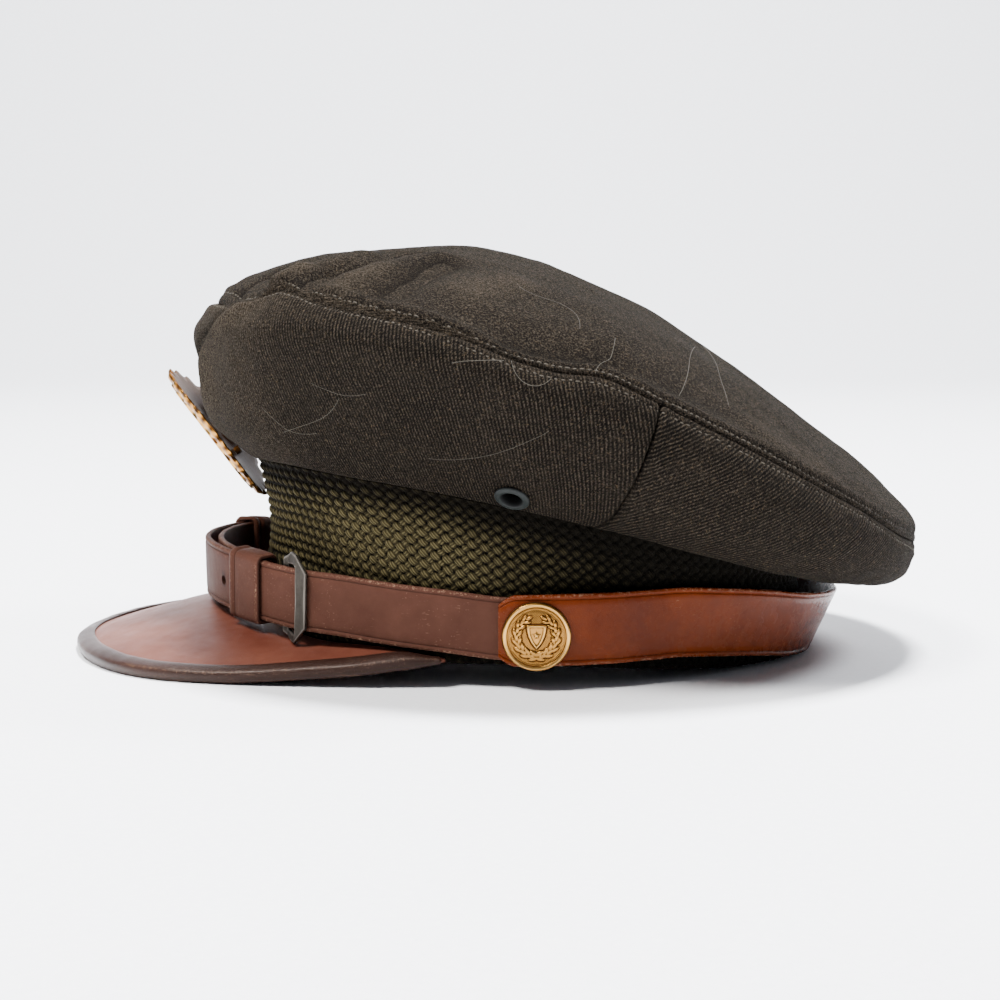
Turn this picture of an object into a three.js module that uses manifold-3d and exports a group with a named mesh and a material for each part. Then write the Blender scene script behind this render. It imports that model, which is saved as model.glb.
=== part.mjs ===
// Soft peaked cap: limp cloth crown, braided band, leather peak, two straps, side buttons and a front badge.
// Millimetres. +X is the back of the cap, -Y its left side, +Z up. The floor is z = 0.

import * as THREE from "three";
import Module from "manifold-3d";

// Driving dimensions
const BAND_X = 10.5;
const BAND_A = 95.5;
const BAND_B = 86;
const BAND_WALL = 3;
const SEAM_X = 25;
const SEAM_A = 120.4;
const SEAM_B = 119.5;
const CLOTH = 1.6;
const GAP = 0.3;
const SEAM_CLEAR = 2;
const SIDE_SEAM_LOW = 80.1;
const SIDE_SEAM_LEAN = 9;
const PEAK_THICK = 2.4;
const PEAK_END = 106;
const BINDING_WIDE = 6.4;
const BINDING_THICK = 5;
const FRONT_STRAP_WIDE = 20;
const REAR_STRAP_WIDE = 22.6;
const REAR_STRAP_END = 95.3;
const STRAP_THICK = 2;
const PUNCH_R = 1.6;
const PUNCH_ANGLE = 158;
const PUNCH_DROP = 1;
const BUCKLE_ANGLE = 136.2;
const KEEPER_LEFT = 149.1;
const KEEPER_RIGHT = 158;
const BUTTON_R = 10.9;
const BUTTON_X = 13.1;
const BUTTON_Z = 17.4;
const SHANK_R = 1.9;
const EYELET_R = 5.6;
const EYELET_HOLE_R = 2.7;
const EYELET_ANGLE = 92.7;
const EYELET_V = 0.295;
const BADGE_HIGH = 55;
const BADGE_WIDE = 50;
const BADGE_CURVE = 110;
const BADGE_FOOT = [-79.8, 52.6];
const BADGE_TOP = [-112.6, 95.8];

// Crown seam height against the angle round the seam, 0 at the back
const SEAM_ROWS = [
  { angle: 0, z: 37 },
  { angle: 24, z: 43.7 },
  { angle: 45, z: 60 },
  { angle: 56, z: 70.3 },
  { angle: 68, z: 82.4 },
  { angle: 78, z: 92.6 },
  { angle: 86, z: 100.6 },
  { angle: 93, z: 102.5 },
  { angle: 99, z: 106 },
  { angle: 106, z: 111.6 },
  { angle: 114, z: 116 },
  { angle: 122, z: 118.6 },
  { angle: 131, z: 121.8 },
  { angle: 140, z: 125.2 },
  { angle: 150, z: 120 },
  { angle: 160, z: 119.6 },
  { angle: 180, z: 118.4 },
];

// Height of the crown's centre line along X
const RIDGE_ROWS = [
  { x: -95.9, z: 118.4 },
  { x: -91.5, z: 123.4 },
  { x: -84, z: 128 },
  { x: -61, z: 135.4 },
  { x: -33, z: 137.8 },
  { x: -8, z: 138.2 },
  { x: 15.6, z: 132.9 },
  { x: 36.4, z: 124.3 },
  { x: 53.8, z: 115.7 },
  { x: 71.2, z: 104.6 },
  { x: 88.7, z: 92.8 },
  { x: 106.3, z: 78.8 },
  { x: 124, z: 64 },
  { x: 134.6, z: 53.6 },
  { x: 142, z: 44.6 },
  { x: 146.5, z: 37 },
];

// Folds of the top panel: a line on plan, height (dents are negative) and half width
const TOP_FOLDS = [
  { x0: -66, y0: -74, x1: -44, y1: -42, rise: 2.6, half: 8 },
  { x0: -78, y0: -58, x1: -52, y1: -22, rise: -4, half: 9 },
  { x0: -52, y0: -66, x1: -28, y1: -40, rise: -2.6, half: 7 },
  { x0: -46, y0: -76, x1: -20, y1: -52, rise: 2.4, half: 8 },
  { x0: -4, y0: -112, x1: 34, y1: -108, rise: -3, half: 9 },
  { x0: -66, y0: 72, x1: -42, y1: 44, rise: 2.8, half: 9 },
  { x0: -78, y0: 52, x1: -50, y1: 20, rise: -4.4, half: 10 },
  { x0: -40, y0: 74, x1: -12, y1: 56, rise: 2, half: 9 },
  { x0: 4, y0: 108, x1: 40, y1: 100, rise: -2.6, half: 10 },
  { x0: 70, y0: 30, x1: 104, y1: 12, rise: -1.6, half: 12 },
];

// Side wall sections: band edge, then four points (reach from the band, height) up to the seam
const WALL_ROWS = [
  { angle: 0, e0: 0.4, z0: 40, e1: 13, z1: 27, e2: 28, z2: 21.8, e3: 36.6, z3: 24, e4: 39.8, z4: 30.5 },
  { angle: 25, e0: 0.4, z0: 42, e1: 12, z1: 31, e2: 27, z2: 27.5, e3: 37.2, z3: 32, e4: 41.2, z4: 39.5 },
  { angle: 50, e0: 0.4, z0: 45.5, e1: 10, z1: 39, e2: 23, z2: 37, e3: 35, z3: 44, e4: 40.5, z4: 57.5 },
  { angle: 70, e0: 0.3, z0: 50.5, e1: 7, z1: 48, e2: 18, z2: 50, e3: 30, z3: 61, e4: 37.6, z4: 77.5 },
  { angle: 90, e0: 0, z0: 56, e1: 5, z1: 57, e2: 16, z2: 66, e3: 28, z3: 82, e4: 35, z4: 95 },
  { angle: 110, e0: 0, z0: 62, e1: 5, z1: 63.5, e2: 13, z2: 74, e3: 23, z3: 91, e4: 29.5, z4: 106 },
  { angle: 130, e0: 0, z0: 65.5, e1: 5.5, z1: 67.5, e2: 13, z2: 79, e3: 22, z3: 98, e4: 26.5, z4: 113 },
  { angle: 145, e0: -0.5, z0: 67, e1: 6, z1: 69.5, e2: 16, z2: 81, e3: 22.2, z3: 99, e4: 23.3, z4: 112 },
  { angle: 160, e0: -1.6, z0: 67, e1: 3.2, z1: 69, e2: 14.6, z2: 80.5, e3: 17.2, z3: 94, e4: 16, z4: 109.5 },
  { angle: 180, e0: -3, z0: 66, e1: 1.8, z1: 68.6, e2: 11.2, z2: 78.6, e3: 16, z3: 92, e4: 19, z4: 109.5 },
];

// Band sections: foot height and how far the waist draws in
const BAND_ROWS = [
  { angle: 0, foot: 0.4, waist: 0.5 },
  { angle: 45, foot: 2.2, waist: 0.8 },
  { angle: 90, foot: 7.2, waist: 1.6 },
  { angle: 120, foot: 7.2, waist: 2 },
  { angle: 150, foot: 11, waist: 3.6 },
  { angle: 180, foot: 15.6, waist: 5.6 },
];

// Rim of the peak, one side, from its end to the tip
const RIM_ROWS = [
  { x: -15.5, y: 86.6, z: 8.6 },
  { x: -27, y: 87.8, z: 8 },
  { x: -43.5, y: 87.6, z: 5.8 },
  { x: -61, y: 85.6, z: 4.2 },
  { x: -85, y: 82, z: 2.3 },
  { x: -107, y: 74.6, z: 1.9 },
  { x: -123.6, y: 61.2, z: 1.9 },
  { x: -136, y: 41, z: 1.9 },
  { x: -143.2, y: 18.4, z: 1.9 },
  { x: -145.3, y: 0, z: 1.9 },
];

// Upper edge of the peak where it meets the band
const PEAK_FOOT_ROWS = [
  { angle: 106, z: 9.8 },
  { angle: 118, z: 11.3 },
  { angle: 136, z: 11.4 },
  { angle: 150, z: 14.8 },
  { angle: 160, z: 17 },
  { angle: 180, z: 19.8 },
];

// Front strap: reach of the outer and inner layer from the band, height of the middle, lean of the top
const FRONT_STRAP_ROWS = [
  { angle: 74, outer: 3.1, inner: 3.1, mid: 18.4, lean: 0 },
  { angle: 90, outer: 3.1, inner: 3.1, mid: 18.6, lean: 0 },
  { angle: 106, outer: 3.6, inner: 3.6, mid: 21, lean: 0.2 },
  { angle: 125, outer: 6, inner: 4.6, mid: 24, lean: 0.6 },
  { angle: 136, outer: 8.6, inner: 6, mid: 25, lean: 1 },
  { angle: 148, outer: 11.2, inner: 8.4, mid: 26.9, lean: 1 },
  { angle: 162, outer: 14.2, inner: 10.4, mid: 28.6, lean: 0.6 },
  { angle: 180, outer: 15.4, inner: 10.8, mid: 29, lean: 0.4 },
];

// Rear strap: reach of its outer face at the foot, height of the middle, lean of the top
const REAR_STRAP_ROWS = [
  { angle: 0, reach: 3.2, mid: 10.05, lean: 11 },
  { angle: 22, reach: 3.2, mid: 11.8, lean: 8 },
  { angle: 45, reach: 3.1, mid: 17, lean: 3.4 },
  { angle: 60, reach: 3.1, mid: 19.2, lean: 1 },
  { angle: 67, reach: 3.4, mid: 19.2, lean: 0.2 },
  { angle: 75, reach: 5.6, mid: 19.2, lean: 0 },
  { angle: 95.3, reach: 5.6, mid: 18.8, lean: 0 },
];

const rad = (degrees) => (degrees * Math.PI) / 180;
const mix = (a, b, t) => a + (b - a) * t;
const clamp = (v, lo, hi) => Math.min(hi, Math.max(lo, v));

// Smooth reading of a named column between rows (cubic, level beyond the ends)
function column(rows, key, name, at) {
  const last = rows.length - 1;
  const down = rows[0][key] > rows[last][key];
  const seq = down ? [...rows].reverse() : rows;
  const x = clamp(at, seq[0][key], seq[last][key]);
  let i = 0;
  while (i < last - 1 && x > seq[i + 1][key]) i += 1;
  const a = seq[i];
  const b = seq[i + 1];
  const h = b[key] - a[key];
  const t = (x - a[key]) / h;
  const slope = (j) => {
    if (j <= 0 || j >= last) return 0;
    return (seq[j + 1][name] - seq[j - 1][name]) / (seq[j + 1][key] - seq[j - 1][key]);
  };
  const ends = (seq[1][name] - seq[0][name]) / (seq[1][key] - seq[0][key]);
  const s0 = i === 0 && key !== "angle" ? ends : slope(i);
  const s1 = i + 1 === last && key !== "angle" ? (b[name] - a[name]) / h : slope(i + 1);
  const t2 = t * t;
  const t3 = t2 * t;
  return (2 * t3 - 3 * t2 + 1) * a[name] + (t3 - 2 * t2 + t) * h * s0
    + (3 * t2 - 2 * t3) * b[name] + (t3 - t2) * h * s1;
}

// Plan point beside the band: angle 0 is the back, positive angles are the left side
function bandPlan(angle, reach) {
  const a = rad(angle);
  const nx = Math.cos(a) / BAND_A;
  const ny = Math.sin(a) / BAND_B;
  const n = Math.hypot(nx, ny);
  return [BAND_X + BAND_A * Math.cos(a) + (reach * nx) / n, -(BAND_B * Math.sin(a) + (reach * ny) / n)];
}

const seamAngle = (angle) => angle + 7 * Math.sin(rad(angle));
const seamHeight = (angle) => column(SEAM_ROWS, "angle", "z", Math.abs(angle));

function seamPoint(angle) {
  const a = rad(angle);
  return [SEAM_X + SEAM_A * Math.cos(a), -SEAM_B * Math.sin(a), seamHeight(angle)];
}

// Height of the top panel over a plan point inside the seam
function topHeight(x, y) {
  const c = clamp((x - SEAM_X) / SEAM_A, -1, 1);
  const half = SEAM_B * Math.sqrt(Math.max(1 - c * c, 1e-6));
  const u = clamp(Math.abs(y) / half, 0, 1);
  const edge = seamHeight((Math.acos(c) * 180) / Math.PI);
  const ridge = column(RIDGE_ROWS, "x", "z", x);
  let z = edge + (ridge - edge) * (1 - Math.pow(u, 2.3));
  const inside = clamp((1 - Math.hypot((x - SEAM_X) / SEAM_A, y / SEAM_B)) * 9, 0, 1);
  for (const f of TOP_FOLDS) {
    const dx = f.x1 - f.x0;
    const dy = f.y1 - f.y0;
    const len = Math.hypot(dx, dy);
    const along = ((x - f.x0) * dx + (y - f.y0) * dy) / (len * len);
    const over = (Math.abs(along - 0.5) - 0.5) * len;
    const side = ((x - f.x0) * dy - (y - f.y0) * dx) / len;
    const past = Math.max(over, 0);
    z += f.rise * inside * Math.exp(-(side * side + past * past) / (f.half * f.half));
  }
  return z;
}

function topPoint(angle, t) {
  const a = rad(angle);
  const x = SEAM_X + t * SEAM_A * Math.cos(a);
  const y = -t * SEAM_B * Math.sin(a);
  return [x, y, topHeight(x, y)];
}

// Point of a side wall: angle round the band, v from the band edge (0) to the seam (1)
function wallPoint(angle, v) {
  const size = Math.abs(angle);
  const side = Math.sign(angle) || 1;
  const get = (name) => column(WALL_ROWS, "angle", name, size);
  const foot = bandPlan(size, 0);
  const top = seamPoint(seamAngle(size));
  const dx = top[0] - foot[0];
  const dy = top[1] - foot[1];
  const reach = Math.hypot(dx, dy);
  const es = [get("e0"), get("e1"), get("e2"), get("e3"), get("e4"), reach];
  const zs = [get("z0"), get("z1"), get("z2"), get("z3"), get("z4"), top[2]];
  const s = clamp(v, 0, 1) * 5;
  const i = Math.min(4, Math.floor(s));
  const t = s - i;
  const spline = (p) => {
    const p0 = i > 0 ? p[i - 1] : 2 * p[0] - p[1];
    const p3 = i < 4 ? p[i + 2] : 2 * p[5] - p[4];
    const m0 = (p[i + 1] - p0) / 2;
    const m1 = (p3 - p[i]) / 2;
    const t2 = t * t;
    const t3 = t2 * t;
    return (2 * t3 - 3 * t2 + 1) * p[i] + (t3 - 2 * t2 + t) * m0 + (3 * t2 - 2 * t3) * p[i + 1] + (t3 - t2) * m1;
  };
  const e = spline(es);
  return [foot[0] + (dx / reach) * e, side * (foot[1] + (dy / reach) * e), spline(zs)];
}

// Outward unit normal of a surface given by two parameters
function normalAt(point, u, v, du, dv) {
  const a = point(u - du, v);
  const b = point(u + du, v);
  const c = point(u, v - dv);
  const d = point(u, v + dv);
  const n = new THREE.Vector3(b[0] - a[0], b[1] - a[1], b[2] - a[2]);
  n.cross(new THREE.Vector3(d[0] - c[0], d[1] - c[1], d[2] - c[2]));
  return n.normalize();
}

function geometryOf(vertices, faces) {
  const g = new THREE.BufferGeometry();
  g.setAttribute("position", new THREE.Float32BufferAttribute(vertices.flat(), 3));
  g.setIndex(faces.flat());
  return g;
}

// Signed volume decides the winding, so every closed mesh faces outward
function facingOut(vertices, faces) {
  let volume = 0;
  for (const [a, b, c] of faces) {
    const [p, q, r] = [vertices[a], vertices[b], vertices[c]];
    volume += p[0] * (q[1] * r[2] - q[2] * r[1]) - p[1] * (q[0] * r[2] - q[2] * r[0])
      + p[2] * (q[0] * r[1] - q[1] * r[0]);
  }
  if (volume > 0) return faces;
  return faces.map(([a, b, c]) => [a, c, b]);
}

// Wall of even thickness under a grid of points, us by vs, open on all four sides
function sheetWall(point, us, vs, thick, flip) {
  const vertices = [];
  const faces = [];
  const nu = us.length;
  const nv = vs.length;
  const du = (us[nu - 1] - us[0]) * 1e-3;
  const dv = (vs[nv - 1] - vs[0]) * 1e-3;
  const skin = [];
  const back = [];
  for (const u of us) {
    for (const v of vs) {
      const inU = clamp(u, Math.min(us[0], us[nu - 1]) + Math.abs(du), Math.max(us[0], us[nu - 1]) - Math.abs(du));
      const p = point(u, v);
      const n = normalAt(point, inU, clamp(v, vs[0] + dv, vs[nv - 1] - dv), du, dv).multiplyScalar(flip * thick);
      skin.push(p);
      back.push([p[0] - n.x, p[1] - n.y, p[2] - n.z]);
    }
  }
  vertices.push(...skin, ...back);
  const at = (i, j) => i * nv + j;
  const off = nu * nv;
  const quad = (a, b, c, d) => faces.push([a, b, c], [a, c, d]);
  for (let i = 0; i < nu - 1; i += 1) {
    for (let j = 0; j < nv - 1; j += 1) {
      quad(at(i, j), at(i + 1, j), at(i + 1, j + 1), at(i, j + 1));
      quad(off + at(i, j), off + at(i, j + 1), off + at(i + 1, j + 1), off + at(i + 1, j));
    }
  }
  for (let i = 0; i < nu - 1; i += 1) {
    quad(at(i, 0), off + at(i, 0), off + at(i + 1, 0), at(i + 1, 0));
    quad(at(i, nv - 1), at(i + 1, nv - 1), off + at(i + 1, nv - 1), off + at(i, nv - 1));
  }
  for (let j = 0; j < nv - 1; j += 1) {
    quad(at(0, j), at(0, j + 1), off + at(0, j + 1), off + at(0, j));
    quad(at(nu - 1, j), off + at(nu - 1, j), off + at(nu - 1, j + 1), at(nu - 1, j + 1));
  }
  return geometryOf(vertices, facingOut(vertices, faces));
}

// Solid swept through a list of closed sections of equal length, capped at both ends or closed in a ring
function loft(sections, ring) {
  const vertices = sections.flat();
  const faces = [];
  const n = sections[0].length;
  const m = sections.length;
  const steps = ring ? m : m - 1;
  for (let i = 0; i < steps; i += 1) {
    const j = (i + 1) % m;
    for (let k = 0; k < n; k += 1) {
      const l = (k + 1) % n;
      faces.push([i * n + k, j * n + k, j * n + l], [i * n + k, j * n + l, i * n + l]);
    }
  }
  if (!ring) {
    const flat = sections[0].map((_, k) => k);
    const caps = [0, m - 1];
    for (const c of caps) {
      const pts = sections[c].map((p) => new THREE.Vector3(...p));
      const tri = THREE.ShapeUtils.triangulateShape(flatten(pts), []);
      for (const t of tri) {
        const [a, b, d] = t.map((k) => c * n + flat[k]);
        faces.push(c === 0 ? [a, b, d] : [a, d, b]);
      }
    }
  }
  return geometryOf(vertices, facingOut(vertices, fixCaps(vertices, faces, n, m, ring)));
}

// Section points in their own best plane
function flatten(points) {
  const n = new THREE.Vector3();
  for (let i = 0; i < points.length; i += 1) {
    const a = points[i];
    const b = points[(i + 1) % points.length];
    n.add(new THREE.Vector3().crossVectors(a, b));
  }
  n.normalize();
  const helper = Math.abs(n.z) < 0.8 ? new THREE.Vector3(0, 0, 1) : new THREE.Vector3(1, 0, 0);
  const ex = new THREE.Vector3().crossVectors(helper, n).normalize();
  const ey = new THREE.Vector3().crossVectors(n, ex);
  return points.map((p) => new THREE.Vector2(p.dot(ex), p.dot(ey)));
}

// Cap triangles are turned so that every shared edge runs both ways
function fixCaps(vertices, faces, n, m, ring) {
  if (ring) return faces;
  const sides = (m - 1) * n * 2;
  const used = new Set();
  for (let f = 0; f < sides; f += 1) {
    const [a, b, c] = faces[f];
    used.add(`${a},${b}`);
    used.add(`${b},${c}`);
    used.add(`${c},${a}`);
  }
  const clash = (from, to) => {
    for (let f = from; f < to; f += 1) {
      const [a, b, c] = faces[f];
      if (used.has(`${a},${b}`) || used.has(`${b},${c}`) || used.has(`${c},${a}`)) return true;
    }
    return false;
  };
  const capSize = n - 2;
  for (let c = 0; c < 2; c += 1) {
    const from = sides + c * capSize;
    if (clash(from, from + capSize)) {
      for (let f = from; f < from + capSize; f += 1) faces[f] = [faces[f][0], faces[f][2], faces[f][1]];
    }
  }
  return faces;
}

const steps = (from, to, count) => Array.from({ length: count + 1 }, (_, i) => mix(from, to, i / count));

// Crown panels
function crownTop() {
  const around = 50;
  const rings = [0.9972, 0.97, 0.91, 0.82, 0.7, 0.56, 0.4, 0.22];
  const point = (a, t) => topPoint(a, t);
  const skin = [];
  const back = [];
  const push = (a, t) => {
    const p = point(a, t);
    const x = p[0];
    const y = p[1];
    const d = 0.4;
    const inX = SEAM_X + (x - SEAM_X) * 0.99;
    const inY = y * 0.99;
    const gx = (topHeight(inX + d, inY) - topHeight(inX - d, inY)) / (2 * d);
    const gy = (topHeight(inX, inY + d) - topHeight(inX, inY - d)) / (2 * d);
    const n = new THREE.Vector3(-clamp(gx, -2, 2), -clamp(gy, -2, 2), 1).normalize().multiplyScalar(CLOTH);
    skin.push(p);
    back.push([p[0] - n.x, p[1] - n.y, p[2] - n.z]);
  };
  for (const t of rings) {
    for (let i = 0; i < around; i += 1) push((i * 360) / around - 180, t);
  }
  push(0, 0);
  const vertices = [...skin, ...back];
  const off = skin.length;
  const faces = [];
  const centre = off - 1;
  for (let r = 0; r < rings.length; r += 1) {
    for (let i = 0; i < around; i += 1) {
      const j = (i + 1) % around;
      const a = r * around + i;
      const b = r * around + j;
      if (r === rings.length - 1) {
        faces.push([a, b, centre], [off + a, off + centre, off + b]);
        continue;
      }
      const c = (r + 1) * around + j;
      const d = (r + 1) * around + i;
      faces.push([a, b, c], [a, c, d], [off + a, off + c, off + b], [off + a, off + d, off + c]);
    }
  }
  for (let i = 0; i < around; i += 1) {
    const j = (i + 1) % around;
    faces.push([i, off + i, off + j], [i, off + j, j]);
  }
  return geometryOf(vertices, facingOut(vertices, faces));
}

// Share of the wall's height at which a side wall stops, a cloth's thickness short of the seam
function wallEnd(angle) {
  const low = wallPoint(angle, 0.8);
  const top = wallPoint(angle, 1);
  const reach = Math.hypot(top[0] - low[0], top[1] - low[1], top[2] - low[2]);
  return 1 - (0.2 * SEAM_CLEAR) / reach;
}

// Quarter of the side wall between two seams; seams lean with height
function quarter(side, front) {
  const vs = [0, 0.095, 0.21, 0.345, 0.49, 0.64, 0.79, 0.905, 1];
  const count = front ? 15 : 13;
  const us = steps(0, 1, count);
  const point = (u, v) => {
    const seam = SIDE_SEAM_LOW - SIDE_SEAM_LEAN * v;
    const angle = front ? mix(seam + 0.12, 179.86, u) : mix(0.16, seam - 0.12, u);
    return wallPoint(side * angle, v * wallEnd(side * angle));
  };
  return sheetWall(point, us, vs, CLOTH, -side);
}

// Band: oval ring with a drawn-in waist
function band() {
  const around = 56;
  const levels = [0, 0.24, 0.5, 0.76, 1];
  const sections = [];
  for (let i = 0; i < around; i += 1) {
    const angle = (i * 360) / around - 180;
    const size = Math.abs(angle);
    const side = Math.sign(angle) || 1;
    const foot = column(BAND_ROWS, "angle", "foot", size);
    const waist = column(BAND_ROWS, "angle", "waist", size);
    const top = column(WALL_ROWS, "angle", "z0", size) - GAP;
    const edge = Math.min(column(WALL_ROWS, "angle", "e0", size), 0);
    const at = (level, inner) => {
      const draw = edge * level - waist * Math.sin(Math.PI * level);
      const [x, y] = bandPlan(size, draw - (inner ? BAND_WALL : 0));
      return [x, side * y, mix(foot, top, level)];
    };
    sections.push([...levels.map((l) => at(l, false)), ...[...levels].reverse().map((l) => at(l, true))]);
  }
  return loft(sections, true);
}

// Peak
function rimPoint(s) {
  const rows = RIM_ROWS;
  const size = Math.abs(s);
  const q = clamp((1 - size) * (rows.length - 1), 0, rows.length - 1);
  const i = Math.min(rows.length - 2, Math.floor(q));
  const t = q - i;
  const read = (name) => {
    const mirror = name === "y" ? -1 : 1;
    const p1 = rows[i][name];
    const p2 = rows[i + 1][name];
    const p0 = i > 0 ? rows[i - 1][name] : 2 * p1 - p2;
    const p3 = i + 2 < rows.length ? rows[i + 2][name] : mirror * p1;
    const m0 = (p2 - p0) / 2;
    const m1 = (p3 - p1) / 2;
    const t2 = t * t;
    const t3 = t2 * t;
    return (2 * t3 - 3 * t2 + 1) * p1 + (t3 - 2 * t2 + t) * m0 + (3 * t2 - 2 * t3) * p2 + (t3 - t2) * m1;
  };
  return [read("x"), Math.sign(s || 1) * -read("y"), read("z")];
}

// Upper face of the peak: s runs from the left end (1) over the tip (0) to the right end (-1)
function peakPoint(s, t) {
  const angle = mix(180, PEAK_END, Math.abs(s));
  const side = s < 0 ? -1 : 1;
  const [bx, by] = bandPlan(angle, GAP + 0.4);
  const foot = column(PEAK_FOOT_ROWS, "angle", "z", angle);
  const rim = rimPoint(s);
  const fall = 0.75 * t + 0.25 * t * t;
  return [mix(bx, rim[0], t), mix(side * by, rim[1], t), mix(foot, rim[2] + PEAK_THICK / 2, fall)];
}

function peak() {
  const us = steps(-1, 1, 30);
  const vs = [0, 0.18, 0.38, 0.58, 0.76, 0.9, 0.985];
  return sheetWall(peakPoint, us, vs, PEAK_THICK, -1);
}

// Folded edge: a channel section with the plate's rim inside it
function peakBinding() {
  const sections = [];
  for (const s of steps(0.985, -0.985, 38)) {
    const edge = new THREE.Vector3(...peakPoint(s, 0.985));
    const inward = new THREE.Vector3(...peakPoint(s, 0.93));
    const up = normalAt(peakPoint, clamp(s, -0.98, 0.98), 0.95, 0.002, 0.002).multiplyScalar(-1);
    const inAxis = inward.sub(edge).normalize();
    const mid = edge.clone().addScaledVector(up, -PEAK_THICK / 2);
    const near = smoothEnd(1 - Math.abs(s));
    const wide = BINDING_WIDE * mix(0.62, 1, near);
    const slotUp = PEAK_THICK / 2 + GAP;
    const half = mix(slotUp + 0.35, BINDING_THICK / 2, near);
    const shape = [
      [wide - 1.6, half * 0.86], [wide * 0.35, half], [-0.8, half * 0.82], [-1.75, half * 0.3],
      [-1.75, -half * 0.3], [-0.8, -half * 0.82], [wide * 0.35, -half], [wide - 1.6, -half * 0.86],
      [wide - 1.5, -slotUp], [-GAP, -slotUp], [-GAP, slotUp], [wide - 1.5, slotUp],
    ];
    sections.push(shape.map(([a, b]) => mid.clone().addScaledVector(inAxis, a).addScaledVector(up, b).toArray()));
  }
  return loft(sections, false);
}

const smoothEnd = (d) => {
  const t = clamp(d / 0.16, 0, 1);
  return t * t * (3 - 2 * t);
};

// Flat strap: an angle list with the outer face's reach, the middle's height, lean, width and thickness
function strap(rows) {
  const sections = rows.map(({ angle, reach, mid, lean, wide, thick }) => {
    const size = Math.abs(angle);
    const side = Math.sign(angle) || 1;
    const corner = 0.35;
    const tilt = Math.atan2(lean, wide);
    const at = (h, depth) => {
      const up = h * Math.cos(tilt);
      const out = reach + lean / 2 + h * Math.sin(tilt) - depth * Math.cos(tilt);
      const [x, y] = bandPlan(size, out);
      return [x, side * y, mid + up + depth * Math.sin(tilt)];
    };
    const half = wide / 2;
    return [
      at(-half, thick - corner), at(-half, corner), at(-half + corner, 0), at(half - corner, 0),
      at(half, corner), at(half, thick - corner), at(half - corner, thick), at(-half + corner, thick),
    ];
  });
  return loft(sections, false);
}

// Front strap layer round the front, from one angle to another; ends are rounded over a few degrees
function frontStrap(from, to, layer) {
  const angles = [from, ...steps(from + 1.2, to - 1.2, 24), to];
  const rows = angles.map((raw) => {
    const angle = raw > 180 ? raw - 360 : raw;
    const size = Math.abs(angle);
    const reachName = layer;
    return {
      angle,
      reach: column(FRONT_STRAP_ROWS, "angle", reachName, size),
      mid: column(FRONT_STRAP_ROWS, "angle", "mid", size),
      lean: column(FRONT_STRAP_ROWS, "angle", "lean", size),
      wide: FRONT_STRAP_WIDE - endCut(raw, from, to),
      thick: STRAP_THICK,
    };
  });
  return strap(rows);
}

const endCut = (at, from, to) => {
  const d = Math.min(Math.abs(at - from), Math.abs(at - to));
  return 5 * Math.pow(1 - clamp(d / 3.2, 0, 1), 2);
};

function rearStrap() {
  const end = REAR_STRAP_END;
  const angles = [end, end - 1.2, end - 3, 89, 82, 75, 71, 67, 60, 52, 44, 36, 28, 21, 14, 7];
  const all = [...angles, 0, ...angles.map((a) => -a).reverse()];
  const rows = all.map((angle) => {
    const size = Math.abs(angle);
    return {
      angle,
      reach: column(REAR_STRAP_ROWS, "angle", "reach", size),
      mid: column(REAR_STRAP_ROWS, "angle", "mid", size),
      lean: column(REAR_STRAP_ROWS, "angle", "lean", size),
      wide: REAR_STRAP_WIDE - 6 * Math.pow(1 - clamp((end - size) / 3, 0, 1), 1.6),
      thick: STRAP_THICK,
    };
  });
  return strap(rows);
}

// Local frame on a strap: along, outward and up axes at an angle, origin in the middle of the outer face
function strapFrame(angle, layer) {
  const size = Math.abs(angle);
  const side = Math.sign(angle) || 1;
  const reach = column(FRONT_STRAP_ROWS, "angle", layer, size);
  const lean = column(FRONT_STRAP_ROWS, "angle", "lean", size);
  const mid = column(FRONT_STRAP_ROWS, "angle", "mid", size);
  const at = (a, r) => {
    const [x, y] = bandPlan(a, r);
    return new THREE.Vector3(x, side * y, 0);
  };
  const step = 1.5;
  const ahead = at(size + step, column(FRONT_STRAP_ROWS, "angle", layer, size + step) + lean / 2);
  const behind = at(size - step, column(FRONT_STRAP_ROWS, "angle", layer, size - step) + lean / 2);
  const rise = column(FRONT_STRAP_ROWS, "angle", "mid", size + step)
    - column(FRONT_STRAP_ROWS, "angle", "mid", size - step);
  const along = ahead.sub(behind);
  along.z = rise;
  along.normalize();
  const tilt = Math.atan2(lean, FRONT_STRAP_WIDE);
  const flat = new THREE.Vector3(-along.y, along.x, 0).normalize().multiplyScalar(side);
  const up = flat.clone().multiplyScalar(Math.sin(tilt)).add(new THREE.Vector3(0, 0, Math.cos(tilt)));
  up.addScaledVector(along, -up.dot(along)).normalize();
  const out = new THREE.Vector3().crossVectors(along, up).normalize();
  if (out.dot(flat) < 0) out.multiplyScalar(-1);
  const origin = at(size, reach + lean / 2);
  origin.z = mid;
  return { origin, along, out, up };
}

const place = (frame, a, o, u) => frame.origin.clone()
  .addScaledVector(frame.along, a).addScaledVector(frame.out, o).addScaledVector(frame.up, u).toArray();

// Punched hole through a strap layer
function punch(angle, layer) {
  const { origin, out, up } = strapFrame(angle, layer);
  const low = origin.clone().addScaledVector(up, -PUNCH_DROP);
  return aim(lathe([[0, -3], [PUNCH_R, -3], [PUNCH_R, 1], [0, 1]], 12), low, out, up);
}

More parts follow.
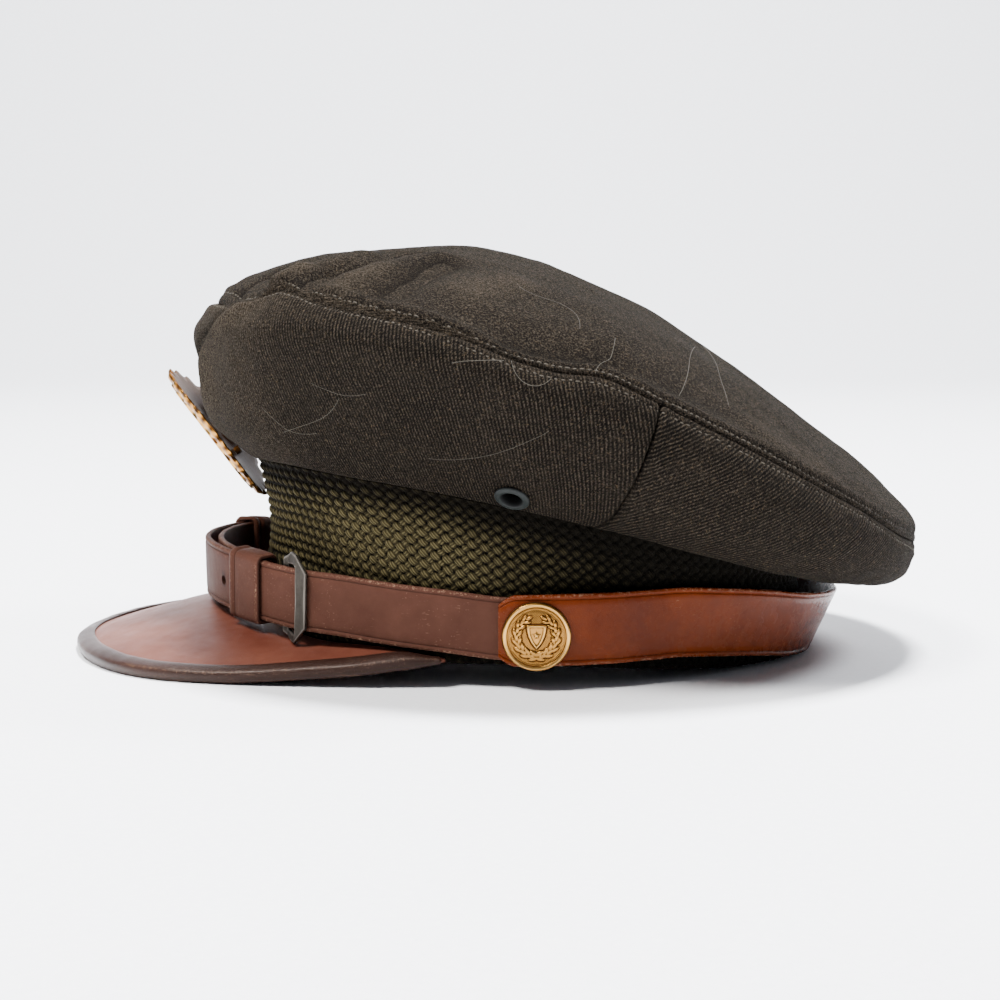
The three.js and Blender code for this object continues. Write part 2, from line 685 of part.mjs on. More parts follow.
// Keeper: a leather loop round both strap layers
function keeper(angle, stack, half) {
  const frame = strapFrame(angle, "outer");
  const clear = 0.4;
  const wall = 1.2;
  const tall = FRONT_STRAP_WIDE / 2 + clear;
  const loops = [];
  const outline = (a, grow) => {
    const top = tall + grow;
    const front = clear + grow;
    const rear = -(stack + clear + grow);
    const c = grow > 0 ? 0.9 : 0.25;
    return [
      [front, -top + c], [front, top - c], [front - c, top], [rear + c, top],
      [rear, top - c], [rear, -top + c], [rear + c, -top], [front - c, -top],
    ].map(([o, u]) => place(frame, a, o, u));
  };
  const spans = [[-half, wall - 0.35], [-half + 0.6, wall], [half - 1.6, wall], [half - 0.8, wall + 0.5], [half, wall]];
  const n = 8;
  const vertices = [];
  const faces = [];
  for (const [a, g] of spans) vertices.push(...outline(a, g));
  for (const [a] of spans) vertices.push(...outline(a, 0));
  const m = spans.length;
  const off = m * n;
  for (let i = 0; i < m - 1; i += 1) {
    for (let k = 0; k < n; k += 1) {
      const l = (k + 1) % n;
      faces.push([i * n + k, (i + 1) * n + k, (i + 1) * n + l], [i * n + k, (i + 1) * n + l, i * n + l]);
      faces.push([off + i * n + k, off + (i + 1) * n + l, off + (i + 1) * n + k]);
      faces.push([off + i * n + k, off + i * n + l, off + (i + 1) * n + l]);
    }
  }
  for (let k = 0; k < n; k += 1) {
    const l = (k + 1) % n;
    const z = (m - 1) * n;
    faces.push([k, l, off + l], [k, off + l, off + k]);
    faces.push([z + k, off + z + l, z + l], [z + k, off + z + k, off + z + l]);
  }
  loops.push(vertices, facingOut(vertices, faces));
  return geometryOf(loops[0], loops[1]);
}

// Buckle: flat half-hexagon frame, turned so that the strap passes over one bar and under the other
function buckle(angle) {
  const frame = strapFrame(angle, angle > 0 ? "outer" : "inner");
  const tall = FRONT_STRAP_WIDE / 2;
  const back = -6.8;
  const fore = 6;
  const hole = tall + 0.6;
  const outer = [
    [back, -tall - 2.2], [-2.6, -tall - 4.2], [1.4, -tall - 4.2], [fore, -tall + 1.2],
    [fore, tall - 0.2], [1.8, tall + 5.2], [-2.6, tall + 5.2], [back, tall + 2.6],
  ];
  const shape = new THREE.Shape(outer.map(([a, u]) => new THREE.Vector2(a, u)));
  const inner = [[-4.6, -hole], [-0.2, -hole - 0.9], [1.7, -hole - 0.3], [1.7, hole + 0.3], [-0.2, hole + 0.9], [-4.6, hole]];
  shape.holes.push(new THREE.Path(inner.map(([a, u]) => new THREE.Vector2(a, u))));
  const g = new THREE.ExtrudeGeometry(shape, { depth: 1.3, bevelEnabled: false, steps: 1 });
  g.deleteAttribute("uv");
  g.deleteAttribute("normal");
  g.translate(0, 0, -0.65);
  const p = g.attributes.position;
  for (let i = 0; i < p.count; i += 1) {
    const a = p.getX(i);
    const u = p.getY(i);
    const d = p.getZ(i);
    const o = -STRAP_THICK / 2 + clamp(a + 1.45, -3.1, 3.1) * 0.68 + d;
    const [x, y, z] = place(frame, -a, o, u);
    p.setXYZ(i, x, y, z);
  }
  return oriented(g);
}

// Turns a mesh right side out after a mirrored placement
function oriented(geometry) {
  const g = geometry.index ? geometry.toNonIndexed() : geometry;
  const p = g.attributes.position;
  const vertices = [];
  const faces = [];
  for (let i = 0; i < p.count; i += 3) {
    vertices.push([p.getX(i), p.getY(i), p.getZ(i)]);
    vertices.push([p.getX(i + 1), p.getY(i + 1), p.getZ(i + 1)]);
    vertices.push([p.getX(i + 2), p.getY(i + 2), p.getZ(i + 2)]);
    faces.push([i, i + 1, i + 2]);
  }
  return geometryOf(vertices, facingOut(vertices, faces));
}

// Solid of revolution from (radius, height) pairs, closed on the axis or on itself
function lathe(profile, segments) {
  const g = new THREE.LatheGeometry(profile.map(([r, h]) => new THREE.Vector2(r, h)), segments);
  g.deleteAttribute("uv");
  g.deleteAttribute("normal");
  g.rotateX(Math.PI / 2);
  return g;
}

// Places a part made about +Z so that +Z looks along a direction and +Y stays near a given up
function aim(geometry, origin, out, up) {
  const z = out.clone().normalize();
  const x = new THREE.Vector3().crossVectors(up, z).normalize();
  const y = new THREE.Vector3().crossVectors(z, x);
  const m = new THREE.Matrix4().makeBasis(x, y, z).setPosition(origin);
  return geometry.clone().applyMatrix4(m);
}

// Plain heater shield, pointed below
function shieldShape(wide, high) {
  const s = new THREE.Shape();
  const w = wide / 2;
  const h = high / 2;
  s.moveTo(-w, h);
  s.lineTo(w, h);
  s.quadraticCurveTo(w * 1.02, -h * 0.25, 0, -h);
  s.quadraticCurveTo(-w * 1.02, -h * 0.25, -w, h);
  return s;
}

const kernel = await Module();
kernel.setup();
const { Manifold, Mesh } = kernel;

// Joins coincident corners so that a mesh can go into the solid kernel
function toSolid(geometry) {
  const g = geometry.index ? geometry.toNonIndexed() : geometry;
  const p = g.attributes.position;
  const seen = new Map();
  const vertices = [];
  const tris = [];
  for (let i = 0; i < p.count; i += 1) {
    const key = [p.getX(i), p.getY(i), p.getZ(i)].map((v) => Math.round(v * 1e4)).join(",");
    if (!seen.has(key)) {
      seen.set(key, vertices.length / 3);
      vertices.push(p.getX(i), p.getY(i), p.getZ(i));
    }
    tris.push(seen.get(key));
  }
  const kept = [];
  for (let i = 0; i < tris.length; i += 3) {
    const [a, b, c] = [tris[i], tris[i + 1], tris[i + 2]];
    if (a !== b && b !== c && a !== c) kept.push(a, b, c);
  }
  return new Manifold(new Mesh({
    numProp: 3,
    vertProperties: Float32Array.from(vertices),
    triVerts: Uint32Array.from(kept),
  }));
}

function fromSolid(solid) {
  const mesh = solid.getMesh();
  const g = new THREE.BufferGeometry();
  const out = new Float32Array((mesh.vertProperties.length / mesh.numProp) * 3);
  for (let i = 0; i < out.length / 3; i += 1) {
    for (let k = 0; k < 3; k += 1) out[i * 3 + k] = mesh.vertProperties[i * mesh.numProp + k];
  }
  g.setAttribute("position", new THREE.BufferAttribute(out, 3));
  g.setIndex(new THREE.BufferAttribute(Uint32Array.from(mesh.triVerts), 1));
  return g;
}

const cut = (geometry, ...tools) => {
  let solid = toSolid(geometry);
  for (const tool of tools) solid = solid.subtract(toSolid(tool));
  return fromSolid(solid);
};

const join = (geometry, ...others) => {
  let solid = toSolid(geometry);
  for (const other of others) solid = solid.add(toSolid(other));
  return fromSolid(solid);
};

const Y_OUT = (side) => new THREE.Vector3(0, -side, 0);
const Z_UP = new THREE.Vector3(0, 0, 1);

// Side button: domed disc with a rolled rim, a raised shield and a plain shank
const BUTTON_FACE = BAND_B + 5.6 + GAP;

function button(side) {
  const r = BUTTON_R;
  const shank = BUTTON_FACE - BAND_B - GAP;
  const disc = lathe([
    [0, -shank], [SHANK_R, -shank], [SHANK_R, 0.2], [r - 0.5, 0.2], [r, 0.8], [r - 0.1, 1.8],
    [r - 1, 2.2], [r - 1.8, 1.7], [r - 3.6, 2.2], [r * 0.36, 2.75], [0, 2.9],
  ], 24);
  const shield = new THREE.ExtrudeGeometry(shieldShape(6.4, 7.8), { depth: 1.4, bevelEnabled: false, curveSegments: 4 });
  shield.deleteAttribute("uv");
  shield.deleteAttribute("normal");
  shield.translate(0, 0, 1.9);
  const whole = join(disc, shield);
  return aim(whole, new THREE.Vector3(BUTTON_X, -side * BUTTON_FACE, BUTTON_Z), Y_OUT(side), Z_UP);
}

function shankHole(side) {
  const g = lathe([[0, -12], [SHANK_R + GAP, -12], [SHANK_R + GAP, 6], [0, 6]], 20);
  return aim(g, new THREE.Vector3(BUTTON_X, -side * BUTTON_FACE, BUTTON_Z), Y_OUT(side), Z_UP);
}

// Eyelet: rolled ring and short barrel in a hole through the cloth
function eyeletFrame(side) {
  const point = (u, v) => wallPoint(side * u, v);
  const origin = new THREE.Vector3(...point(EYELET_ANGLE, EYELET_V));
  const out = normalAt(point, EYELET_ANGLE, EYELET_V, 0.5, 0.01);
  if (out.y * -side < 0) out.multiplyScalar(-1);
  return { origin, out };
}

function eyelet(side) {
  const { origin, out } = eyeletFrame(side);
  const r = EYELET_R;
  const h = EYELET_HOLE_R;
  const ring = lathe([
    [h, -CLOTH - 0.6], [h + 0.6, -CLOTH - 0.6], [h + 0.6, 0.5], [r - 0.3, 0.5], [r, 0.9],
    [r - 0.5, 1.5], [mix(h, r, 0.5), 1.8], [h + 0.3, 1.4], [h, 0.8], [h, -CLOTH - 0.6],
  ], 16);
  return aim(ring, origin, out, Z_UP);
}

function eyeletHole(side) {
  const { origin, out } = eyeletFrame(side);
  const r = EYELET_HOLE_R + 0.6 + GAP;
  return aim(lathe([[0, -4], [r, -4], [r, 4], [0, 4]], 20), origin, out, Z_UP);
}

// Badge: curved oval plate with a rayed outline, a raised ring and a plain shield
function badgeFrame() {
  const [fx, fz] = BADGE_FOOT;
  const [tx, tz] = BADGE_TOP;
  const up = new THREE.Vector3(tx - fx, 0, tz - fz).normalize();
  const out = new THREE.Vector3(up.z * -1, 0, up.x);
  const origin = new THREE.Vector3((fx + tx) / 2, 0, (fz + tz) / 2);
  return { origin, up, out };
}

function badge() {
  const rays = 20;
  const around = rays * 2;
  const rings = [
    { k: 0.5, h: 0, rayed: 0 }, { k: 1, h: 0.1, rayed: 1 }, { k: 1, h: 0.9, rayed: 1 }, { k: 0.875, h: 1.7, rayed: 0 },
    { k: 0.86, h: 2.7, rayed: 0 }, { k: 0.8, h: 2.7, rayed: 0 }, { k: 0.785, h: 1.7, rayed: 0 }, { k: 0.4, h: 1.9, rayed: 0 },
  ];
  const curl = (x, h) => h - (x * x) / (2 * BADGE_CURVE);
  const vertices = [];
  for (const { k, h, rayed } of rings) {
    for (let i = 0; i < around; i += 1) {
      const a = (i * Math.PI) / rays + Math.PI / 2;
      const r = k * (rayed && i % 2 ? 0.93 : 1);
      const x = (r * BADGE_WIDE * Math.cos(a)) / 2;
      vertices.push([x, (r * BADGE_HIGH * Math.sin(a)) / 2, curl(x, h)]);
    }
  }
  const low = vertices.length;
  vertices.push([0, 0, 0], [0, 0, 1.9]);
  const faces = [];
  for (let i = 0; i < around; i += 1) {
    const j = (i + 1) % around;
    faces.push([i, low, j]);
    for (let r = 0; r < rings.length - 1; r += 1) {
      const [a, b, c, d] = [r * around + i, r * around + j, (r + 1) * around + j, (r + 1) * around + i];
      faces.push([a, b, c], [a, c, d]);
    }
    const last = (rings.length - 1) * around;
    faces.push([last + i, last + j, low + 1]);
  }
  const plate = geometryOf(vertices, facingOut(vertices, faces));
  const shield = new THREE.ExtrudeGeometry(shieldShape(15, 18.5), { depth: 2.4, bevelEnabled: false, curveSegments: 5 });
  shield.deleteAttribute("uv");
  shield.deleteAttribute("normal");
  shield.translate(0, 0, 0.8);
  const { origin, up, out } = badgeFrame();
  return aim(join(plate, shield), origin, out, up);
}

function badgePost() {
  const { origin, up, out } = badgeFrame();
  const at = origin.clone().addScaledVector(up, -9);
  return aim(lathe([[0, -2.3], [1.5, -2.3], [1.5, -GAP], [0, -GAP]], 16), at, out, up);
}

const LOOKS = {
  cloth: [0x3c372d, 0.95, 0],
  braid: [0x4b4b2d, 0.85, 0],
  peak: [0x8a5340, 0.42, 0],
  binding: [0x553c34, 0.6, 0],
  strap: [0x7d5548, 0.5, 0],
  rear: [0x7a3a24, 0.45, 0],
  gold: [0xbe9650, 0.35, 0.9],
  steel: [0x6e6c69, 0.45, 0.8],
  enamel: [0x464b4b, 0.5, 0.3],
};

function build() {
  const group = new THREE.Group();
  const add = (name, geometry, look) => {
    const [color, roughness, metalness] = LOOKS[look];
    const mesh = new THREE.Mesh(geometry, new THREE.MeshStandardMaterial({ color, roughness, metalness }));
    mesh.name = name;
    group.add(mesh);
  };
  add("crown_top", crownTop(), "cloth");
  add("quarter_front_left", cut(quarter(1, true), eyeletHole(1)), "cloth");
  add("quarter_front_right", cut(quarter(-1, true), eyeletHole(-1)), "cloth");
  add("quarter_rear_left", quarter(1, false), "cloth");
  add("quarter_rear_right", quarter(-1, false), "cloth");
  add("band", band(), "braid");
  add("peak", peak(), "peak");
  add("peak_binding", peakBinding(), "binding");
  add("front_strap_outer", cut(frontStrap(77, 206.5, "outer"), shankHole(1), punch(PUNCH_ANGLE, "outer")), "strap");
  add("front_strap_inner", cut(frontStrap(143, 283, "inner"), shankHole(-1)), "strap");
  add("rear_strap", cut(rearStrap(), shankHole(1), shankHole(-1)), "rear");
  add("keeper_left", keeper(KEEPER_LEFT, 5.3, 8), "strap");
  add("keeper_right", keeper(-KEEPER_RIGHT, 6.2, 5.6), "strap");
  add("buckle_left", buckle(BUCKLE_ANGLE), "steel");
  add("buckle_right", buckle(-BUCKLE_ANGLE), "steel");
  add("button_left", button(1), "gold");
  add("button_right", button(-1), "gold");
  add("eyelet_left", eyelet(1), "enamel");
  add("eyelet_right", eyelet(-1), "enamel");
  add("badge", badge(), "gold");
  add("badge_post", badgePost(), "gold");
  return group;
}

export default build();
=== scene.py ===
import math

import bmesh
import bpy
import numpy as np
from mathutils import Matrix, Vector


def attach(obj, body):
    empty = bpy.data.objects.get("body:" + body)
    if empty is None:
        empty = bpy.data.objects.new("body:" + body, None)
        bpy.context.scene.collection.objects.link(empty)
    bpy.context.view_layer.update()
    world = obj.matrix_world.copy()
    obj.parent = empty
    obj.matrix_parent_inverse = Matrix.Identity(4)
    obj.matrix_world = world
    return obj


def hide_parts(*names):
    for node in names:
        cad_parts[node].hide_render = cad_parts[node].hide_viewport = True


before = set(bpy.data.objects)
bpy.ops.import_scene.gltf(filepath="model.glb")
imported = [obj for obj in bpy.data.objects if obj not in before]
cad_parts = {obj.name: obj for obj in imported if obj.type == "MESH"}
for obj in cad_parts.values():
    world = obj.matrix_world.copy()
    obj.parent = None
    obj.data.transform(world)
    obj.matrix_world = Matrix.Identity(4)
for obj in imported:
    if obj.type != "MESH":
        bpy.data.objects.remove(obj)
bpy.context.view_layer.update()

bl_info = {
    "name": "Crusher cap",
    "version": (1, 0, 0),
    "blender": (4, 5, 0),
    "location": "3D View > Sidebar > Cap",
    "description": "Dresses the cap: cloth, braid, leather, metal and the stage",
    "category": "Add Mesh",
}

# Millimetres and degrees throughout; meshes are scaled to metres when they are made
MM = 0.001
UP = np.array([0, 0, 1.0])
BAND_X, BAND_A, BAND_B, BAND_WALL = 10.5, 95.5, 86.0, 3.0
SEAM_X, SEAM_A, SEAM_B = 25.0, 120.4, 119.5
SEAM_LEAD, SEAM_EDGE, CORNER_REACH, NEAR_ZONE = 7.0, 0.14, 7.5, 14.0
CROWN_MID_X = 18.0
CLOTH, GAP = 1.6, 0.3
SIDE_SEAM_LOW, SIDE_SEAM_LEAN, SIDE_SEAM_SLIT = 80.1, 9.0, 0.12
PEAK_THICK, PEAK_END = 2.4, 106.0
BINDING_WIDE, BINDING_THICK = 6.4, 5.0
FRONT_STRAP_WIDE, REAR_STRAP_WIDE, STRAP_THICK = 20.0, 22.6, 2.0
REAR_STRAP_END, BUCKLE_ANGLE = 95.3, 136.2
KEEPERS = {1: (149.1, 5.3, 8.0), -1: (158.0, 6.2, 5.6)}
BUTTON_R, BUTTON_X, BUTTON_Z = 10.9, 13.1, 17.4
EYELET_R, EYELET_HOLE_R, EYELET_ANGLE, EYELET_V = 5.6, 2.7, 92.7, 0.295
BADGE_HIGH, BADGE_WIDE, BADGE_CURVE = 55.0, 50.0, 110.0
BUTTON_STAND, SHANK_HOLE_R = 5.6, 2.4
BADGE_FOOT, BADGE_TOP = (-79.8, 52.6), (-112.6, 95.8)
PUNCH_R, PUNCH_ANGLE, PUNCH_DROP = 1.6, 158.0, 1.0
FRONT_RIB_TURN, TOP_RIB_TURN = 0.14, 0.12
STITCH_PITCH, STITCH_LONG, STITCH_SINK = 2.15, 1.6, 0.25
GATHER_PITCH, GATHER_SLANT = 2.7, 1.9
LINT_R = 0.065
BRAID_WIDE, BRAID_HIGH = 4.15, (3.6, 2.95)
BUCKLE_HALF, BUCKLE_EASE, BUCKLE_BRIM = 0.65, 0.28, 0.75
KEEPER_CLEAR, KEEPER_WALL, KEEPER_CORNER = 0.4, 1.2, 1.3


def table(names, *rows):
    """Columns of a small table by name."""
    return {name: np.array([row[i] for row in rows], float) for i, name in enumerate(names.split())}


SEAM_ROWS = table(
    "angle z",
    (0, 37), (24, 43.7), (45, 60), (56, 70.3), (68, 82.4), (78, 92.6), (86, 100.6), (93, 102.5), (99, 106),
    (106, 111.6), (114, 116), (122, 118.6), (131, 121.8), (140, 125.2), (150, 120), (160, 119.6),
    (180, 118.4))
RIDGE_ROWS = table(
    "x z",
    (-95.9, 118.4), (-91.5, 123.4), (-84, 128), (-61, 135.4), (-33, 137.8), (-8, 138.2), (15.6, 132.9),
    (36.4, 124.3), (53.8, 115.7), (71.2, 104.6), (88.7, 92.8), (106.3, 79.2), (124, 65.8), (134.6, 56.4),
    (142, 46.6), (145.4, 37))
FINE_FOLDS = table(
    "x0 y0 x1 y1 rise half",
    (-76, -72, -62, -66, 2.2, 4.2), (-60, -63, -42, -50, 0.9, 5.5), (-62, -82, -50, -68, -3.4, 4.4),
    (-50, -68, -38, -56, -2, 5), (-48, -84, -36, -72, 1.6, 7), (-31, -88, -16, -62, -2.4, 6.5),
    (-8, -86, 8, -70, 1.4, 9), (4, -112, 36, -108, -1.6, 6), (48, -106, 74, -98, -1.1, 6),
    (80, -96, 104, -80, 0.9, 7), (-88, -48, -74, -34, -3.2, 5.5), (-28, 92, -10, 66, -1.6, 8),
    (4, 108, 40, 96, -1.4, 6))
TOP_FOLDS = table(
    "x0 y0 x1 y1 rise half",
    (-66, -74, -44, -42, 2.6, 8), (-78, -58, -52, -22, -4, 9), (-52, -66, -28, -40, -2.6, 7),
    (-46, -76, -20, -52, 2.4, 8), (-4, -112, 34, -108, -3, 9), (-66, 72, -42, 44, 2.8, 9),
    (-78, 52, -50, 20, -4.4, 10), (-40, 74, -12, 56, 2, 9), (4, 108, 40, 100, -2.6, 10),
    (70, 30, 104, 12, -1.6, 12))
WALL_ROWS = table(
    "angle e0 z0 e1 z1 e2 z2 e3 z3 e4 z4",
    (0, 0.4, 40, 13, 27, 28, 23, 36.2, 25.4, 39.4, 31.2),
    (25, 0.4, 42, 12, 31, 27, 27.5, 37.2, 32, 41.2, 39.5),
    (50, 0.4, 45.5, 10, 39, 23, 37, 35, 44, 40.5, 57.5),
    (70, 0.3, 50.5, 7, 48, 18, 50, 30, 61, 37.6, 77.5),
    (90, 0, 56, 5, 57, 16, 66, 28, 82, 35, 95),
    (110, 0, 62, 5, 63.5, 13, 74, 23, 91, 29.5, 106),
    (130, 0, 65.5, 5.5, 67.5, 13, 79, 22, 98, 26.5, 113),
    (145, -0.5, 67, 6, 69.5, 16, 81, 22.2, 99, 23.3, 112),
    (160, -1.6, 67, 3.2, 69, 14.6, 80.5, 17.2, 94, 16, 109.5),
    (180, -3, 66, 1.8, 68.6, 11.2, 78.6, 16, 92, 19, 109.5))
LINT_ROWS = table(
    "kind a0 d0 a1 d1 a2 d2 a3 d3",
    (0, 101.0, 0.832, 98.5, 0.866, 96.0, 0.899, 93.5, 0.933),
    (0, 136.0, 0.403, 130.0, 0.454, 124.5, 0.471, 121.5, 0.563),
    (0, 126.5, 0.597, 124.0, 0.571, 119.5, 0.571, 116.0, 0.605),
    (0, 92.5, 0.95, 92.0, 0.824, 89.0, 0.807, 87.0, 0.916),
    (1, 103.5, 43.0, 96.0, 33.0, 88.5, 45.0, 89.5, 23.0),
    (1, 83.0, 24.5, 84.5, 13.5, 87.0, 4.0, 87.5, 0.5),
    (1, 75.0, 5.0, 69.0, 25.5, 64.0, 42.5, 55.0, 52.0),
    (1, 44.5, 60.0, 59.0, 35.0, 62.0, 24.0, 64.0, 14.5),
    (0, 106.5, 0.42, 99.5, 0.429, 91.5, 0.513, 87.0, 0.664),
    (0, 139.5, 0.479, 137.0, 0.42, 133.5, 0.387, 128.5, 0.42))
BAND_ROWS = table(
    "angle foot waist",
    (0, 0.4, 0.5), (45, 2.2, 0.8), (90, 7.2, 1.6), (120, 7.2, 2), (150, 11, 3.6), (180, 15.6, 5.6))
RIM_ROWS = table(
    "x y z",
    (-15.5, 86.6, 8.6), (-27, 87.8, 8), (-43.5, 87.6, 5.8), (-61, 85.6, 4.2), (-85, 82, 2.3),
    (-107, 74.6, 1.9), (-123.6, 61.2, 1.9), (-136, 41, 1.9), (-143.2, 18.4, 1.9), (-145.3, 0, 1.9))
PEAK_FOOT_ROWS = table(
    "angle z", (106, 9.8), (118, 11.3), (136, 11.4), (150, 14.8), (160, 17), (180, 19.8))
FRONT_STRAP_ROWS = table(
    "angle outer inner mid lean",
    (74, 3.1, 3.1, 18.4, 0), (90, 3.1, 3.1, 18.6, 0), (106, 3.6, 3.6, 21, 0.2), (125, 6, 4.6, 24, 0.6),
    (136, 8.6, 6, 25, 1), (148, 11.2, 8.4, 26.9, 1), (162, 14.2, 10.4, 28.6, 0.6), (180, 15.4, 10.8, 29, 0.4))
REAR_STRAP_ROWS = table(
    "angle reach mid lean",
    (0, 3.2, 10.05, 11), (22, 3.2, 11.8, 8), (45, 3.1, 17, 3.4), (60, 3.1, 19.2, 1), (67, 3.4, 19.2, 0.2),
    (75, 5.6, 19.2, 0), (95.3, 5.6, 18.8, 0))


# Shape functions, on arrays

def mix(a, b, t):
    return a + (b - a) * t


def bell(d, half):
    """1 at d = 0, falling off over a half width."""
    return np.exp(-(np.asarray(d, float) / half) ** 2)


def ramp(v, lo, hi):
    """Smooth step from 0 at lo to 1 at hi."""
    t = np.clip((np.asarray(v, float) - lo) / (hi - lo), 0, 1)
    return t * t * (3 - 2 * t)


def unit(v):
    return v / np.linalg.norm(v, axis=-1, keepdims=True)


def hermite(t, a, b, slope_a, slope_b):
    """Smooth curve from a (t = 0) to b (t = 1) with the given slopes."""
    t2, t3 = t * t, t * t * t
    return ((2 * t3 - 3 * t2 + 1) * a + (t3 - 2 * t2 + t) * slope_a
            + (3 * t2 - 2 * t3) * b + (t3 - t2) * slope_b)


def column(rows, key, name, at):
    """Smooth reading of a named column between rows."""
    keys, vals = rows[key], rows[name]
    last = len(keys) - 1
    x = np.clip(np.asarray(at, float), keys[0], keys[-1])
    i = np.clip(np.searchsorted(keys, x, side="left") - 1, 0, last - 1)
    slope = np.zeros(last + 1)
    slope[1:-1] = (vals[2:] - vals[:-2]) / (keys[2:] - keys[:-2])
    if key != "angle":
        slope[0] = (vals[1] - vals[0]) / (keys[1] - keys[0])
        slope[-1] = (vals[-1] - vals[-2]) / (keys[-1] - keys[-2])
    h = keys[i + 1] - keys[i]
    return hermite((x - keys[i]) / h, vals[i], vals[i + 1], h * slope[i], h * slope[i + 1])


def band_plan(angle, reach):
    """Plan point beside the band; angle 0 is the back and positive angles are the left side."""
    a = np.radians(np.abs(angle))
    side = np.where(np.asarray(angle) < 0, -1.0, 1.0)
    nx, ny = np.cos(a) / BAND_A, np.sin(a) / BAND_B
    n = np.hypot(nx, ny)
    return BAND_X + BAND_A * np.cos(a) + reach * nx / n, -side * (BAND_B * np.sin(a) + reach * ny / n)


def seam_angle(size):
    """Bearing of the seam that a bearing of the band leads to."""
    return size + SEAM_LEAD * np.sin(np.radians(size))


def seam_height(angle):
    return column(SEAM_ROWS, "angle", "z", np.abs(angle))


def fold_shift(p, rows):
    """Height of soft folds that run between plan points, with their rise and half width."""
    out = np.zeros(p.shape[:-1])
    for x0, y0, x1, y1, rise, half in zip(*(rows[k] for k in ("x0", "y0", "x1", "y1", "rise", "half"))):
        dx, dy = x1 - x0, y1 - y0
        length = math.hypot(dx, dy)
        along = ((p[..., 0] - x0) * dx + (p[..., 1] - y0) * dy) / length
        side = ((p[..., 0] - x0) * dy - (p[..., 1] - y0) * dx) / length
        past = np.maximum(np.abs(along - length / 2) - length / 2, 0)
        out = out + rise * np.exp(-(side ** 2 + past ** 2) / half ** 2)
    return out


def top_height(x, y):
    """Height of the top panel over a plan point inside the seam."""
    c = np.clip((x - SEAM_X) / SEAM_A, -1, 1)
    half = SEAM_B * np.sqrt(np.maximum(1 - c * c, 1e-6))
    u = np.clip(np.abs(y) / half, 0, 1)
    edge = seam_height(np.degrees(np.arccos(c)))
    ridge = column(RIDGE_ROWS, "x", "z", x)
    z = edge + (ridge - edge) * (1 - u ** 2.3)
    inside = np.clip((1 - np.hypot((x - SEAM_X) / SEAM_A, y / SEAM_B)) * 9, 0, 1)
    return z + inside * fold_shift(np.stack([x, y], -1), TOP_FOLDS)


def wall_point(angle, v):
    """Side wall: angle round the band, v from the band's edge (0) to the seam (1)."""
    size = np.abs(angle)
    side = np.where(np.asarray(angle) < 0, -1.0, 1.0)
    fx, fy = band_plan(size, 0)
    sa = seam_angle(size)
    tx, ty = SEAM_X + SEAM_A * np.cos(np.radians(sa)), -SEAM_B * np.sin(np.radians(sa))
    dx, dy = tx - fx, ty - fy
    reach = np.hypot(dx, dy)
    get = lambda name: column(WALL_ROWS, "angle", name, size)
    es = np.stack([get(f"e{k}") for k in range(5)] + [reach])
    zs = np.stack([get(f"z{k}") for k in range(5)] + [seam_height(sa)])
    s = np.clip(v, 0, 1) * 5
    i = np.minimum(4, np.floor(s)).astype(int)

    def spline(p):
        p = np.concatenate([2 * p[:1] - p[1:2], p, 2 * p[5:6] - p[4:5]])
        p0, p1, p2, p3 = (np.take_along_axis(p, (i + k)[None], 0)[0] for k in range(4))
        return hermite(s - i, p1, p2, (p2 - p0) / 2, (p3 - p1) / 2)

    e, z = spline(es), spline(zs)
    return np.stack([fx + dx / reach * e, side * (fy + dy / reach * e), z], -1)


def rim_point(s):
    """Peak's rim: s runs from the left end (1) over the tip (0) to the right end (-1)."""
    n = len(RIM_ROWS["x"])
    q = np.clip((1 - np.abs(s)) * (n - 1), 0, n - 1)
    i = np.minimum(n - 2, np.floor(q)).astype(int)
    out = []
    for name in "xyz":
        p = RIM_ROWS[name]
        p = np.concatenate([[2 * p[0] - p[1]], p, [-p[-2] if name == "y" else p[-2]]])
        p0, p1, p2, p3 = (p[i + k] for k in range(4))
        out.append(hermite(q - i, p1, p2, (p2 - p0) / 2, (p3 - p1) / 2))
    return out[0], np.where(s < 0, 1.0, -1.0) * out[1], out[2]


def peak_point(s, t):
    """Upper face of the peak: s runs from the left end (1) over the tip (0) to the right end (-1)."""
    angle = mix(180, PEAK_END, np.abs(s))
    side = np.where(s < 0, -1.0, 1.0)
    bx, by = band_plan(angle, GAP + 0.4)
    foot = column(PEAK_FOOT_ROWS, "angle", "z", angle)
    rx, ry, rz = rim_point(s)
    fall = 0.75 * t + 0.25 * t * t
    return np.stack([mix(bx, rx, t), mix(side * by, ry, t), mix(foot, rz + PEAK_THICK / 2, fall)], -1)


def noise3(p, scale, seed):
    """Smooth seeded wave noise of points, about -1 to 1."""
    rng = np.random.default_rng(seed)
    out = np.zeros(p.shape[:-1])
    for octave in range(3):
        for _ in range(5):
            k = rng.normal(size=3)
            k /= np.linalg.norm(k)
            out = out + np.sin((p @ k) * 2 * math.pi / scale * 2 ** octave * rng.uniform(0.7, 1.3)
                               + rng.uniform(0, 6.28)) / 2 ** octave
    return out / 4.5


# Mesh makers

def add_values(obj, name, values):
    """Number per vertex that a material reads; vertices past the list get 0."""
    values = np.asarray(values, np.float32).ravel()
    layer = obj.data.attributes.new(name, "FLOAT", "POINT")
    layer.data.foreach_set("value", np.pad(values, (0, len(obj.data.vertices) - len(values))))


